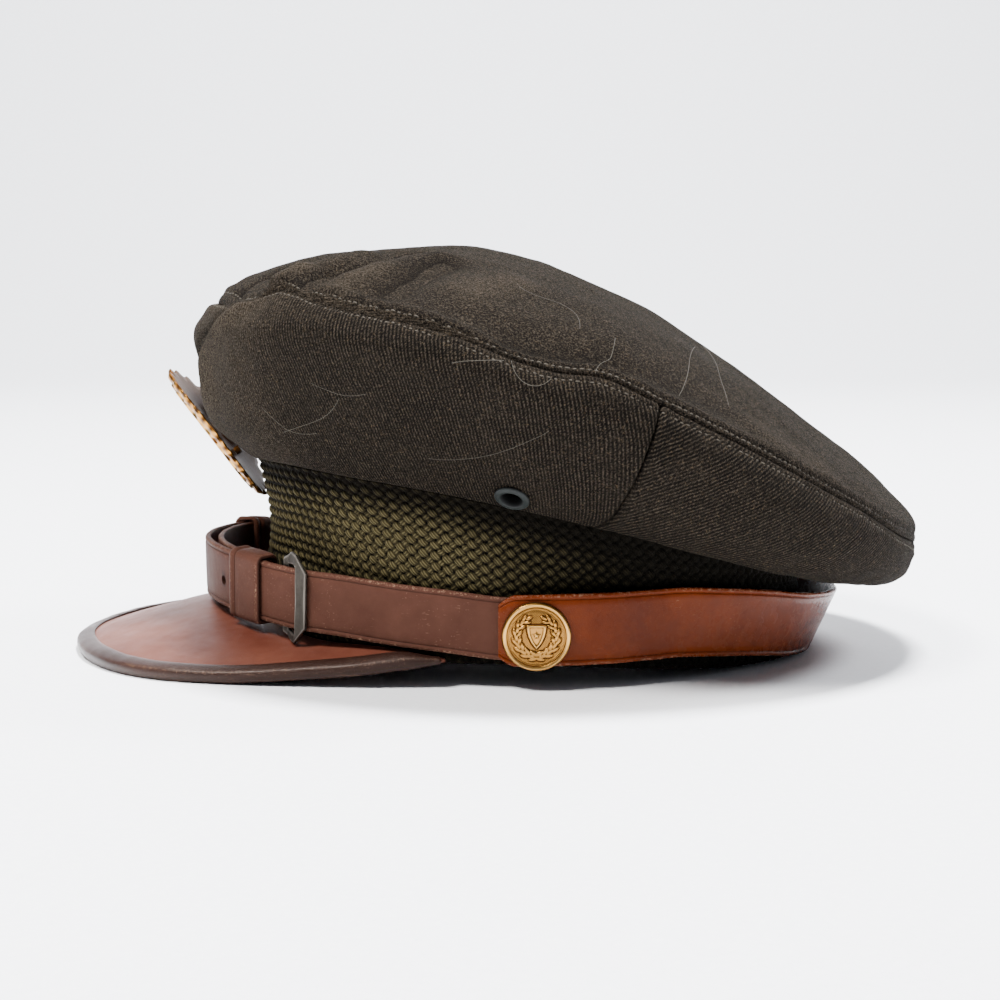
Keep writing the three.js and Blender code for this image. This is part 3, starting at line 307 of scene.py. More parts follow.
def new_object(name, verts, faces, uv=None, relief=None):
    """Mesh object from millimetre points, with a UV pair and a relief value per vertex."""
    mesh = bpy.data.meshes.new(name)
    faces = [tuple(int(k) for k in f) for f in faces]
    mesh.from_pydata([tuple(v) for v in (np.asarray(verts, float) * MM).tolist()], [], faces)
    if uv is not None:
        layer = mesh.uv_layers.new(name="cloth")
        index = np.empty(len(mesh.loops), int)
        mesh.loops.foreach_get("vertex_index", index)
        layer.data.foreach_set("uv", np.asarray(uv, np.float32)[index].ravel())
    mesh.polygons.foreach_set("use_smooth", [True] * len(mesh.polygons))
    mesh.update()
    obj = bpy.data.objects.new(name, mesh)
    bpy.context.scene.collection.objects.link(obj)
    if relief is not None:
        add_values(obj, "relief", relief)
    return obj


def grid_faces(nu, nv, start):
    """Quads of a grid of nv columns that closes after nu rows, from a first vertex on."""
    i, j = np.meshgrid(np.arange(nu), np.arange(nv - 1), indexing="ij")
    k = (i + 1) % nu
    return np.stack([i * nv + j, k * nv + j, k * nv + j + 1, i * nv + j + 1], -1).reshape(-1, 4) + start


def grid_normals(p, ring=False):
    """Unit normals of a grid of points, u across v."""
    du = np.roll(p, -1, 0) - np.roll(p, 1, 0) if ring else np.gradient(p, axis=0)
    n = np.cross(du, np.gradient(p, axis=1))
    return n / np.maximum(np.linalg.norm(n, axis=-1, keepdims=True), 1e-9)


def face_out(obj):
    """Turns a closed mesh right side out."""
    bm = bmesh.new()
    bm.from_mesh(obj.data)
    bmesh.ops.recalc_face_normals(bm, faces=bm.faces)
    if bm.calc_volume(signed=True) < 0:
        bmesh.ops.reverse_faces(bm, faces=bm.faces)
    bm.to_mesh(obj.data)
    bm.free()


def sweep(name, sections, uv=None, relief=None, ring=False):
    """Solid through closed sections (m, n, 3), with flat ends unless it is a ring."""
    m, n = sections.shape[:2]
    verts = sections.reshape(-1, 3)
    i, k = np.meshgrid(np.arange(m if ring else m - 1), np.arange(n), indexing="ij")
    j, l = (i + 1) % m, (k + 1) % n
    faces = np.stack([i * n + k, j * n + k, j * n + l, i * n + l], -1).reshape(-1, 4).tolist()
    if not ring:
        faces += [list(range(n)), [(m - 1) * n + q for q in range(n)][::-1]]
    obj = new_object(name, verts, faces, None if uv is None else uv.reshape(-1, 2),
                     None if relief is None else relief.ravel())
    face_out(obj)
    return obj


def revolve(profile, count, origin, out):
    """Points of (radius, height) pairs turned about an outward axis: one section for each turn."""
    profile = np.asarray(profile, float)
    x = unit(np.cross(UP, out))
    y = np.cross(out, x)
    a = np.arange(count)[:, None, None] * 2 * math.pi / count
    return np.asarray(origin) + profile[:, :1] * (np.cos(a) * x + np.sin(a) * y) + profile[:, 1:] * out


def stitches(name, line, normals, radius):
    """Thread stitches laid along a line of points, each a small rounded bar bowed into the cloth."""
    step = np.linalg.norm(np.diff(line, axis=0), axis=1)
    run = np.concatenate([[0], np.cumsum(step)])
    count = int(run[-1] / STITCH_PITCH)
    at = (np.arange(count) + 0.5) * run[-1] / count
    read = lambda arr, s: np.stack([np.interp(s, run, arr[:, k]) for k in range(3)], -1)
    verts, faces, dice = [], [], np.random.default_rng(len(line))
    rings = [(-0.5, 0.35, -0.8), (-0.36, 0.9, -0.1), (0.0, 1.0, 0.25), (0.36, 0.9, -0.1), (0.5, 0.35, -0.8)]
    sides = 6
    for s in at:
        c, n = read(line, s), unit(read(normals, s))
        t = read(line, s + 0.4) - read(line, s - 0.4)
        t = unit(t - n * np.dot(t, n))
        b = np.cross(n, t)
        base = len(verts)
        c = c + b * dice.normal(0, 0.09) - n * abs(dice.normal(0, 0.12))
        grow = dice.uniform(0.7, 1.1)
        for along, fat, lift in rings:
            for k in range(sides):
                a = 2 * math.pi * k / sides
                off = n * (lift - STITCH_SINK + math.sin(a) * fat) + b * math.cos(a) * fat
                verts.append(c + t * along * STITCH_LONG * grow + off * radius)
        for r in range(len(rings) - 1):
            for k in range(sides):
                l = (k + 1) % sides
                faces.append((base + r * sides + k, base + r * sides + l,
                              base + (r + 1) * sides + l, base + (r + 1) * sides + k))
        faces.append(tuple(base + k for k in range(sides))[::-1])
        faces.append(tuple(base + (len(rings) - 1) * sides + k for k in range(sides)))
    return new_object(name, np.array(verts), faces)


def finish_piece(obj, material, slot, *nodes):
    """Gives a piece its material and hides the nodes that it takes the place of; the slot is not used."""
    obj.data.materials.clear()
    obj.data.materials.append(material)
    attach(obj, "root")
    if nodes:
        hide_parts(*nodes)


# Materials

class Wire:
    """A shader socket with arithmetic."""

    def __init__(self, paint, socket):
        self.paint, self.socket = paint, socket

    def _math(self, kind, *args):
        return self.paint.node("ShaderNodeMath", {"operation": kind}, dict(enumerate(args)))

    def __add__(self, o):
        return self._math("ADD", self, o)

    __radd__ = __add__

    def __sub__(self, o):
        return self._math("SUBTRACT", self, o)

    def __rsub__(self, o):
        return self._math("SUBTRACT", o, self)

    def __mul__(self, o):
        return self._math("MULTIPLY", self, o)

    __rmul__ = __mul__

    def __truediv__(self, o):
        return self._math("DIVIDE", self, o)

    def __rtruediv__(self, o):
        return self._math("DIVIDE", o, self)

    def fract(self):
        return self._math("FRACT", self)

    def abs(self):
        return self._math("ABSOLUTE", self)

    def least(self, o):
        return self._math("MINIMUM", self, o)

    def span(self, lo, hi, to_lo=0.0, to_hi=1.0):
        """Clamped smooth mapping of a range."""
        return self.paint.node("ShaderNodeMapRange", {"interpolation_type": "SMOOTHSTEP", "clamp": True},
                               {0: self, 1: lo, 2: hi, 3: to_lo, 4: to_hi})


class Paint:
    """One material and the few ways its nodes are made."""

    def __init__(self, name):
        self.material = bpy.data.materials.new(name)
        self.material.use_nodes = True
        self.tree = self.material.node_tree
        self.shader = self.tree.nodes["Principled BSDF"]

    def node(self, kind, settings=None, inputs=None, out=0):
        """Any node by its type, with its settings and its inputs' values or links."""
        made = self.tree.nodes.new(kind)
        for key, value in (settings or {}).items():
            setattr(made, key, value)
        for key, value in (inputs or {}).items():
            if isinstance(value, Wire):
                self.tree.links.new(value.socket, made.inputs[key])
            else:
                made.inputs[key].default_value = value
        return Wire(self, made.outputs[out])

    def uv(self):
        return self.node("ShaderNodeUVMap", {"uv_map": "cloth"})

    def place(self):
        """Object coordinates in millimetres."""
        raw = self.node("ShaderNodeTexCoord", out="Object")
        return self.node("ShaderNodeVectorMath", {"operation": "SCALE"}, {0: raw, 3: 1000.0})

    def split(self, vector):
        first = self.node("ShaderNodeSeparateXYZ", None, {0: vector})
        return [Wire(self, first.socket.node.outputs[k]) for k in range(3)]

    def noise(self, vector, scale, detail=3.0, rough=0.6):
        return self.node("ShaderNodeTexNoise", None,
                         {"Vector": vector, "Scale": scale, "Detail": detail, "Roughness": rough})

    def stretch(self, vector, factors, turn=(0, 0, 0)):
        return self.node("ShaderNodeMapping", {"vector_type": "POINT"},
                         {"Vector": vector, "Scale": factors, "Rotation": turn})

    def relief(self, name="relief"):
        return self.node("ShaderNodeAttribute", {"attribute_name": name}, out="Fac")

    def blend(self, a, b, t):
        """Colour mix by a factor."""
        full = lambda c: c if isinstance(c, Wire) else (*c, 1.0)
        return self.node("ShaderNodeMix", {"data_type": "RGBA"}, {0: t, 6: full(a), 7: full(b)}, out=2)

    def feed(self, **sockets):
        """Links or sets the shader's own sockets by name."""
        for key, value in sockets.items():
            target = self.shader.inputs[key.replace("_", " ")]
            if isinstance(value, Wire):
                self.tree.links.new(value.socket, target)
            elif isinstance(value, tuple):
                target.default_value = (*value, 1.0)
            else:
                target.default_value = value

    def bump(self, height, distance, strength):
        made = self.node("ShaderNodeBump", None,
                         {"Height": height, "Strength": strength, "Distance": distance})
        self.tree.links.new(made.socket, self.shader.inputs["Normal"])


def srgb(r, g, b):
    """Linear colour from 0 to 255 values as seen."""
    return tuple(c / 12.92 if c <= 0.04045 else ((c + 0.055) / 1.055) ** 2.4
                 for c in (r / 255, g / 255, b / 255))


def scaled(colour, *factors):
    """Colour times one factor or three."""
    return tuple(c * k for c, k in zip(colour, factors * 3 if len(factors) == 1 else factors))


def capped(colour):
    return tuple(min(c, 1.0) for c in colour)


def cloth_material(name, base, rib_pitch, rib_depth):
    """Brushed wool twill: twisted ribs across the cloth UV, broken by pale and dark fibres, with painted
    shade in the rib grooves and fold hollows, and wear with painted highlight on the rib crowns and fold
    ridges.
    """
    p = Paint(name)
    place = p.place()
    across, along = p.split(p.uv())[:2]
    wander = (p.noise(place, 0.09, 2.0) - 0.5) * 1.2 + (p.noise(place, 0.9, 2.0) - 0.5) * 0.3
    phase = (across + wander) / rib_pitch
    rib = ((phase.fract() - 0.5).abs() * 2.0).span(0.2, 0.9)
    twist = (along + across * 0.9) / 0.95 + (p.noise(place, 0.5, 2.0) - 0.5) * 2.0
    twist = (twist.fract() - 0.5).abs() * 2.0
    fibre = p.noise(place, 0.85, 6.0, 0.85)
    grain = p.noise(place, 1.7, 3.0, 0.8)
    broad = p.noise(place, 0.03, 3.0)
    worn = p.noise(place, 0.05, 4.0, 0.65).span(0.36, 0.66)
    shown = p.relief().span(0.0, 1.0) * (1 - worn * 0.35)
    light = capped(scaled(base, 10.0, 9.8, 9.6))
    dark = scaled(base, 0.06)
    groove = (1 - rib) * shown * rib_depth
    nap = fibre.span(0.5, 0.62) * 0.26 + grain.span(0.5, 0.62) * 0.34
    colour = p.blend(base, scaled(base, 2.0), broad.span(0.4, 0.72) * 0.35)
    colour = p.blend(colour, light, nap * (1 - groove * 0.6))
    # Painted shade in the rib grooves
    colour = p.blend(colour, dark, (groove * 0.8).least(0.8))
    colour = p.blend(colour, dark, (1 - grain.span(0.38, 0.5)) * 0.9)
    # Painted highlight on the rib crowns
    colour = p.blend(colour, light, rib * twist.span(0.5, 1.0) * shown * 0.34 * rib_depth)
    warm = scaled(light, 1.6, 1.4, 1.1)
    colour = p.blend(colour, warm, p.noise(place, 1.1, 4.0, 0.8).span(0.58, 0.68) * 0.42)
    # Crest: wear and painted highlight on fold ridges, painted shade in fold hollows
    crest = p.relief("crest")
    colour = p.blend(colour, light, crest.span(0.0, 1.0) * (grain.span(0.4, 0.6) * 0.34 + 0.08))
    colour = p.blend(colour, dark, (0 - crest).span(0.0, 1.0) * 0.7)
    height = rib * shown * rib_depth * 0.9 + twist * shown * 0.3 * rib_depth + fibre * 1.6 + grain * 1.2
    p.feed(Base_Color=colour, Roughness=0.97, Sheen_Weight=0.05, Sheen_Roughness=0.5,
           Specular_IOR_Level=0.04, Sheen_Tint=capped(scaled(base, 8)))
    p.bump(height, 0.0008, 1.0)
    return p.material


def braid_material(base):
    """Plaited braid: fine slanting strands on each bump, with painted highlight on the strands' crowns,
    painted shade between them, and near-black painted shade where the relief is low: in the gaps, toward the
    foot, under the crown and toward the back.
    """
    p = Paint("olive_braid")
    place = p.place()
    strand = ((p.split(p.uv())[0] / 0.92 + (p.noise(place, 0.4, 2.0) - 0.5) * 0.8).fract() - 0.5).abs() * 2.0
    fibre = p.noise(place, 3.4, 3.0, 0.7)
    broad = p.noise(place, 0.035, 3.0)
    # Painted highlight on the strands' crowns, with pale fibres
    lit = strand.span(0.35, 0.95) * 0.5 + fibre.span(0.5, 0.75) * 0.4
    colour = p.blend(base, scaled(base, 3.2), lit)
    colour = p.blend(colour, scaled(base, 0.75, 0.72, 0.66), broad.span(0.4, 0.65) * 0.4)
    # Painted shade between the strands
    colour = p.blend(colour, scaled(base, 0.3), (1 - strand.span(0.05, 0.4)) * 0.6)
    # Painted shade: near black where the relief is low
    colour = p.blend(scaled(base, 0.05, 0.045, 0.04), colour, p.relief().span(0.12, 0.8))
    p.feed(Base_Color=colour, Roughness=0.85, Specular_IOR_Level=0.06)
    p.bump(strand * 0.8 + fibre * 0.5, 0.00026, 0.9)
    return p.material


def leather_material(name, base, lit, rough, grain, scuff, scratch, shine, spots=0.0):
    """Finished leather: fine grain, colour drift, scratches and scuffs on raised edges, and painted shade
    where the relief is low.
    """
    p = Paint(name)
    place = p.place()
    relief = p.relief()
    drift = p.noise(place, 0.035, 4.0, 0.55).span(0.32, 0.7)
    mottle = p.noise(place, 0.25, 4.0, 0.6).span(0.35, 0.75)
    colour = p.blend(base, lit, drift * 0.55 + mottle * 0.2)
    cells = p.node("ShaderNodeTexVoronoi", {"feature": "DISTANCE_TO_EDGE"}, {"Vector": place, "Scale": 1.5})
    crease = 1 - cells.span(0.0, 0.14)
    pore = p.noise(place, 2.6, 2.0).span(0.55, 0.75)
    hair = p.noise(p.stretch(place, (0.05, 1.6, 1.6), (0.3, 0.5, 0.35)), 1.0, 2.0).span(0.66, 0.7)
    hair2 = p.noise(p.stretch(place, (1.3, 0.04, 1.4), (0.2, 0.1, -0.5)), 1.0, 2.0).span(0.68, 0.72)
    lines = (hair + hair2).least(1.0) * p.noise(place, 0.05, 2.0).span(0.42, 0.6) * scratch
    pale = srgb(150, 118, 96)
    colour = p.blend(colour, pale, lines * 0.55)
    edge = (relief.span(0.7, 1.0) * p.noise(place, 1.1, 5.0, 0.8).span(0.5, 0.64)
            * p.noise(place, 0.09, 2.0).span(0.35, 0.6, 0.35, 1.0) * scuff)
    colour = p.blend(colour, pale, edge)
    # Painted shade: darker where the relief is low, in embossed lines, grooves, the binding's slot edge and
    # the peak's ends
    low = 1 - relief.span(0.0, 0.4)
    colour = p.blend(colour, scaled(base, 0.35), low * 0.8)
    if spots:
        colour = p.blend(colour, pale, p.noise(place, 1.3, 4.0, 0.8).span(0.62, 0.7) * spots)
    p.feed(Base_Color=colour, Specular_IOR_Level=shine, Specular_Tint=(1.0, 0.84, 0.76),
           Roughness=(rough + p.noise(place, 0.2, 3.0) * 0.16 + lines * 0.2 + edge * 0.3 - 0.08).least(1.0))
    p.bump(pore * -0.3 - crease * 0.22 - lines * 0.5 + p.noise(place, 0.3, 3.0) * 0.6, 0.00016 * grain, 0.6)
    return p.material


def metal_material(name, base, deep, rough, low, high, bright=None, metallic=1.0, brushed=0.0, shine=0.5):
    """Metal with tarnish in the hollows (relief under low) and rubbed high places; on the eyelets the dark
    hollows are painted shade.
    """
    p = Paint(name)
    place = p.place()
    relief = p.relief()
    stain = p.noise(place, 0.35, 4.0, 0.65)
    fine = p.noise(place, 2.2, 3.0, 0.7)
    lift = relief.span(low, high)
    colour = p.blend(deep, base, (lift + (stain - 0.5) * 0.5).span(0.0, 1.0))
    colour = p.blend(colour, bright or capped(scaled(base, 1.3)), relief.span(0.75, 1.0) * 0.6)
    streak = p.noise(p.stretch(place, (1.4, 1.4, 0.08)), 1.4, 3.0) * brushed
    p.feed(Base_Color=colour, Metallic=metallic, Specular_IOR_Level=shine,
           Roughness=(rough + (1 - lift) * 0.22 + (fine - 0.5) * 0.2 + streak * 0.12).least(1.0))
    p.bump(fine * 0.4 + stain * 0.5 + streak, 0.00008, 0.7)
    return p.material


def plain_thread(name, base):
    p = Paint(name)
    twist = p.noise(p.place(), 3.5, 2.0)
    p.feed(Base_Color=p.blend(scaled(base, 0.6), base, twist.span(0.35, 0.65)), Roughness=0.85)
    p.bump(twist, 0.0001, 0.5)
    return p.material


# Frames on the straps and pieces

def strap_frame(angle, layer):
    """Origin in the middle of a front strap layer's outer face, with its along, out and up axes."""
    size, side = abs(angle), (-1.0 if angle < 0 else 1.0)
    rows = FRONT_STRAP_ROWS
    read = lambda name, a: float(column(rows, "angle", name, a))
    lean, mid = read("lean", size), read("mid", size)

    def at(a, r, z):
        x, y = band_plan(a, r)
        return np.array([float(x), side * float(y), z])

    ahead = at(size + 1.5, read(layer, size + 1.5) + lean / 2, read("mid", size + 1.5))
    behind = at(size - 1.5, read(layer, size - 1.5) + lean / 2, read("mid", size - 1.5))
    along = unit(ahead - behind)
    tilt = math.atan2(lean, FRONT_STRAP_WIDE)
    flat = side * unit(np.array([-along[1], along[0], 0.0]))
    up = flat * math.sin(tilt) + np.array([0, 0, math.cos(tilt)])
    up = unit(up - along * np.dot(up, along))
    out = unit(np.cross(along, up))
    if np.dot(out, flat) < 0:
        out = -out
    return at(size, read(layer, size) + lean / 2, mid), along, out, up


def badge_frame():
    """Middle of the badge's back, with its up and outward axes."""
    (fx, fz), (tx, tz) = BADGE_FOOT, BADGE_TOP
    up = unit(np.array([tx - fx, 0, tz - fz]))
    return np.array([(fx + tx) / 2, 0, (fz + tz) / 2]), up, np.array([-up[2], 0, up[0]])


def eyelet_frame(side):
    """Middle of an eyelet on the cloth, with its outward axis."""
    a, v = side * EYELET_ANGLE, EYELET_V
    one = lambda q, w: wall_point(np.array([q]), np.array([w]))[0]
    out = unit(np.cross(one(a + 0.5, v) - one(a - 0.5, v), one(a, v + 0.01) - one(a, v - 0.01)))
    if out[1] * -side < 0:
        out = -out
    return one(a, v), out


def punch(obj, origin, out, radius, near=-6.0, far=6.0):
    """Cuts a round hole through a piece, between two depths along an outward axis."""
    rod = revolve([(radius, near), (radius, far)], 40, origin, out)
    tool = sweep("hole_tool", rod.transpose(1, 0, 2))
    cut = obj.modifiers.new("hole", "BOOLEAN")
    cut.operation, cut.solver, cut.object = "DIFFERENCE", "EXACT", tool
    cut.use_self = True
    graph = bpy.context.evaluated_depsgraph_get()
    made = bpy.data.meshes.new_from_object(obj.evaluated_get(graph), preserve_all_data_layers=True,
                                           depsgraph=graph)
    made.set_sharp_from_angle(angle=math.radians(50))
    obj.modifiers.clear()
    at = np.empty(len(made.vertices) * 3)
    made.vertices.foreach_get("co", at)
    at = at.reshape(-1, 3) / MM - origin
    deep = at @ out
    off = np.linalg.norm(at - deep[:, None] * out, axis=1)
    filled = np.any((off < radius * 0.9) & (deep > near) & (deep < far))
    if filled or len(made.polygons) == len(obj.data.polygons):
        raise RuntimeError(f"the hole in {obj.name} was not cut")
    old, obj.data = obj.data, made
    bpy.data.meshes.remove(old)
    bpy.data.objects.remove(tool)


def shank_hole(obj, side):
    """Cuts the hole for a side button's shank through a strap."""
    punch(obj, (BUTTON_X, -side * (BAND_B + 5), BUTTON_Z), np.array([0, -side, 0.0]), SHANK_HOLE_R)


# Cloth panels

MID_ANGLES = np.linspace(0, 180, 721)
MID_LINE = wall_point(MID_ANGLES, np.full_like(MID_ANGLES, 0.6))
MID_ARC = np.concatenate([[0], np.cumsum(np.linalg.norm(np.diff(MID_LINE[:, :2], axis=0), axis=1))])
MID_TURN = np.arctan2(np.abs(MID_LINE[:, 1]), MID_LINE[:, 0] - CROWN_MID_X)


def arc_at(p):
    """Length round the crown from the back, by a point's bearing on plan."""
    return np.interp(np.arctan2(np.abs(p[..., 1]), p[..., 0] - CROWN_MID_X), MID_TURN, MID_ARC)


def stitch_depth(size):
    """Distance of the stitch rows from the seam: on the top panel and on the side wall."""
    return mix(2.6, 4.4, ramp(size, 96, 122)), mix(3.0, 1.1, ramp(size, 98, 116))


def top_point(angle, dist):
    """Plain top panel at a distance on plan inside the seam."""
    a = np.radians(angle)
    radius = np.hypot(SEAM_A * np.cos(a), SEAM_B * np.sin(a))
    t = 1 - dist / radius
    x, y = SEAM_X + t * SEAM_A * np.cos(a), -t * SEAM_B * np.sin(a)
    return np.stack([x, y, top_height(x, y)], -1)


def corner_table():
    """The seam's corner by angle: inward way, sine of half its turn and the top panel's slope length."""
    sa = np.linspace(0.5, 179.5, 180)
    wall = np.interp(sa, seam_angle(MID_ANGLES), MID_ANGLES)
    near, far = top_point(sa, 0.5), top_point(sa, 3.5)
    along = top_point(sa + 0.5, 0.5) - top_point(sa - 0.5, 0.5)
    top = unit(np.cross(along, far - near))
    sign = np.sign(top[:, 2:])
    edge, below = wall_point(wall, np.ones(180)), wall_point(wall, np.full(180, 0.95))
    side = unit(np.cross(below - edge, along)) * sign
    top = top * sign
    half = np.sqrt(np.clip((1 - (top * side).sum(-1)) / 2, 0, 1))
    soft = np.exp(-(np.arange(-12, 13) / 6) ** 2)
    smooth = lambda v: np.convolve(np.pad(v, 12, mode="edge"), soft / soft.sum(), mode="valid")
    inward = unit(np.stack([smooth(c) for c in -(top + side).T], -1))
    inward[:, 1] *= np.clip(np.minimum(sa, 180 - sa) / 8, 0, 1)
    return sa, unit(inward), smooth(half), smooth(np.linalg.norm(far - near, axis=-1) / 3)


CORNER = corner_table()


def seam_round(angle, dist):
    """Shift that rounds the seam's corner and sinks its stitching groove, the same from both panels."""
    at, inward, half = CORNER[:3]
    size = np.abs(angle)
    ends = mix(0.35, 1, ramp(size, 6, 36)) * mix(1, 0.4, ramp(size, 150, 168))
    depth = ends * CORNER_REACH * np.interp(size, at, half) / 2 * np.clip(1 - dist / CORNER_REACH, 0, 1) ** 2
    depth = depth + mix(0.6, 0.28, ramp(size, 138, 158)) * mix(0.1, 1, ramp(size, 6, 30)) * bell(dist, 0.75)
    way = np.stack([np.interp(size, at, inward[:, k]) for k in range(3)], -1)
    way[..., 1] *= np.where(angle < 0, -1.0, 1.0)
    return way * depth[..., None]


def top_surface(angle, dist):
    """Fine top panel with its rounded seam, at a distance on plan inside the seam."""
    slope = np.interp(np.abs(angle), CORNER[0], CORNER[3])
    return top_point(angle, dist) + seam_round(angle, dist * slope)


def front_dent(angle, level):
    """Upright hollow beside the badge on each side, and the ridge that borders it up to the seam."""
    size = np.abs(angle)
    tall = ramp(level, 0.12, 0.5) * mix(1, 1.5, ramp(level, 0.55, 0.9))
    bend = 171.5 - 20 * ramp(level, 0.66, 1.02)
    wide = mix(3.4, 5.0, ramp(level, 0.6, 1))
    return tall * (-4.6 * bell(size - bend, wide * 0.85) + 2.4 * bell(size - bend + 7.5, 4.4))


def gathered(size):
    """1 along the stretch of the seam where the top panel is gathered, 0 elsewhere."""
    return ramp(size, 92, 112) * (1 - ramp(size, 140, 156))


def gather(arc, dist):
    """Small slanting gathers beside the seam, -1 to 1."""
    return np.sin((arc - dist * GATHER_SLANT) * 2 * math.pi / GATHER_PITCH + 2 * np.sin(arc / 9))


def top_relief(angle, dist, p):
    """Top panel: stitch groove, gathers, folds and soft unevenness."""
    size = np.abs(angle)
    row = stitch_depth(size)[0]
    front = gathered(size)
    arc = arc_at(p)
    d = -0.85 * front * bell(dist - 2.1, 1.5)
    d = d - 0.55 * bell(dist - row, 0.75) * (1 - 0.6 * ramp(size, 148, 164))
    d = d + 0.55 * bell(dist - row - 2.6, 1.9)
    d = d + 0.45 * bell(dist - row * 0.5, row * 0.3) * (1 - ramp(size, 92, 112))
    d = d + front * 0.75 * gather(arc, dist) * bell(dist - 2.3, 1.8)
    pucker = np.sin(arc * 2 * math.pi / 7.3 + 2.2 * np.sin(arc / 17))
    d = d + (0.12 + 0.22 * front) * pucker * bell(dist - row - 1.6, 3.2)
    d = d + fold_shift(p, FINE_FOLDS) * ramp(dist, 1, 7)
    d = d + 0.4 * ramp(size, 154, 168) * bell(dist - 4, 4) * ramp(dist, 0, 1.5)
    nose = 1 - ramp(size, 10, 40)
    d = d * (1 - 0.5 * nose * bell(dist, 6)) + 1.5 * nose * bell(dist - 8, 7) * ramp(dist, 0, 3)
    return d + 0.6 * noise3(p, 46, 3) * ramp(dist, 3, 16) + 0.2 * noise3(p, 15, 4) * ramp(dist, 1, 8)


def wall_relief(size, low, dist, p, seam_gap, level):
    """Side wall: stitch row, pressed strip, upright seams, front hollow and soft unevenness."""
    row = stitch_depth(size)[1]
    d = -0.28 * bell(dist - row, 0.5)
    strip = ramp(dist, 0.8, 1.6) * (1 - ramp(dist, row - 0.3, row + 0.6)) * (1 - ramp(size, 104, 118))
    d = d + 0.22 * strip + 0.18 * bell(dist - row - 1.8, 1.5)
    for gap in seam_gap:
        d = d - 0.8 * bell(gap, 0.75) + 0.28 * bell(gap - 2.4, 1.5)
    soft, arc = ramp(dist, 2, 14) * ramp(low, 0, 8), arc_at(p)
    pucker = np.sin(arc * 2 * math.pi / 8.1 + 1.7 * np.sin(arc / 13))
    d = d + 0.1 * pucker * bell(dist - row - 1, 3.5)
    d = d + front_dent(size, level) * ramp(dist, 0, 4)
    d = d - 1.3 * (1 - ramp(size, 10, 44)) * bell(dist - 7, 6)
    d = d + 1.5 * ramp(size, 158, 170) * bell(dist - 3, 3.5) * ramp(dist, 0, 1.2)
    return d + 0.55 * noise3(p, 42, 5) * soft + 0.2 * noise3(p, 14, 6) * soft


def wall_surface(side, front, nu, nv):
    """Fine grid of a quarter: points with relief, plain points and normals, angle, distances from the
    band and from the seam, and share of the height."""
    u, v = np.meshgrid(np.linspace(0, 1, nu), np.linspace(0, 1, nv) ** 0.94, indexing="ij")
    v = 1 - (1 - v) ** 1.25
    seam = SIDE_SEAM_LOW - SIDE_SEAM_LEAN * v
    angle = mix(seam + SIDE_SEAM_SLIT, 179.9, u) if front else mix(0.1, seam - SIDE_SEAM_SLIT, u)
    low, top = wall_point(angle, np.full_like(v, 0.8)), wall_point(angle, np.ones_like(v))
    end = 1 - 0.2 * SEAM_EDGE / np.linalg.norm(top - low, axis=-1)
    p = wall_point(side * angle, v * end)
    run = run_lengths(p)
    dist = run[:, -1:] - run + SEAM_EDGE
    scale = np.linalg.norm(np.gradient(p, axis=0), axis=-1) / np.maximum(np.gradient(angle, axis=0), 1e-6)
    gap_side = np.abs(angle - seam) * scale
    gap_end = (180 - angle if front else angle) * scale
    p = p + seam_round(side * seam_angle(angle), dist)
    n, level = grid_normals(p) * -side, run / run[:, -1:]
    outer = p + n * wall_relief(angle, run, dist, p, (gap_side, gap_end), level)[..., None]
    return outer, p, n, angle, run, dist, level


def run_lengths(p):
    """Length along each row of a grid of points."""
    step = np.linalg.norm(np.diff(p, axis=1), axis=-1)
    return np.concatenate([np.zeros((len(p), 1)), np.cumsum(step, 1)], 1)


def cloth_thick(dist):
    """Thickness of the cloth, thinned toward its folded edge at the seam."""
    return np.maximum(0.2, CLOTH * ramp(dist, 0, 3.6))


def closed_strip(name, outer, inner, uv, relief, ring=False):
    """Wall from fine outer columns and coarse inner ones, joined along both edges."""
    sections = np.concatenate([outer, inner[:, ::-1]], 1)
    uvs = np.concatenate([uv, np.repeat(uv[:, -1:], inner.shape[1], 1)], 1)
    rel = np.concatenate([relief, np.full(inner.shape[:2], 0.5)], 1)
    return sweep(name, sections, uvs, rel, ring)


def rib_lines(p, front):
    """Cloth UV in millimetres: across the ribs and along them."""
    arc, z = arc_at(p), p[..., 2]
    if front:
        return np.stack([arc * math.cos(FRONT_RIB_TURN) - z * math.sin(FRONT_RIB_TURN), z], -1)
    reach = MID_ARC[-1] * 0.45
    slope = mix(1.0, 0.36, np.clip(arc / reach, 0, 1))
    rise = arc * (1.0 + slope) / 2
    return np.stack([z + rise, arc], -1)


def quarter(name, side, front, res):
    """One of the four side walls."""
    nu, nv = int((300 if front else 270) * res), int(96 * res)
    outer, p, n, angle, run, dist, level = wall_surface(side, front, nu, nv)
    pick = np.unique(np.linspace(0, nv - 1, 14).astype(int))
    inner = (p - n * cloth_thick(dist)[..., None])[:, pick]
    if front:
        seen = 1 - 0.45 * ramp(angle, 118, 150)
    else:
        seen = 1 - 0.75 * (1 - ramp(run, 6, 26)) * (1 - ramp(angle, 45, 80))
    strip = (dist < stitch_depth(angle)[1]) & (angle < 112)
    obj = closed_strip(name, outer, inner, rib_lines(p, front), seen * np.where(strip, 0.6, 1.0))
    # Crest for the cloth's colour: wear and painted highlight on the ridge beside the front hollow, painted
    # shade in the hollow, and lighter toward the front
    crest = front_dent(angle, level) / 3 * ramp(dist, 0, 4) + 0.5 * ramp(angle, 120, 150)
    add_values(obj, "crest", np.pad(crest, ((0, 0), (0, inner.shape[1]))))
    return obj


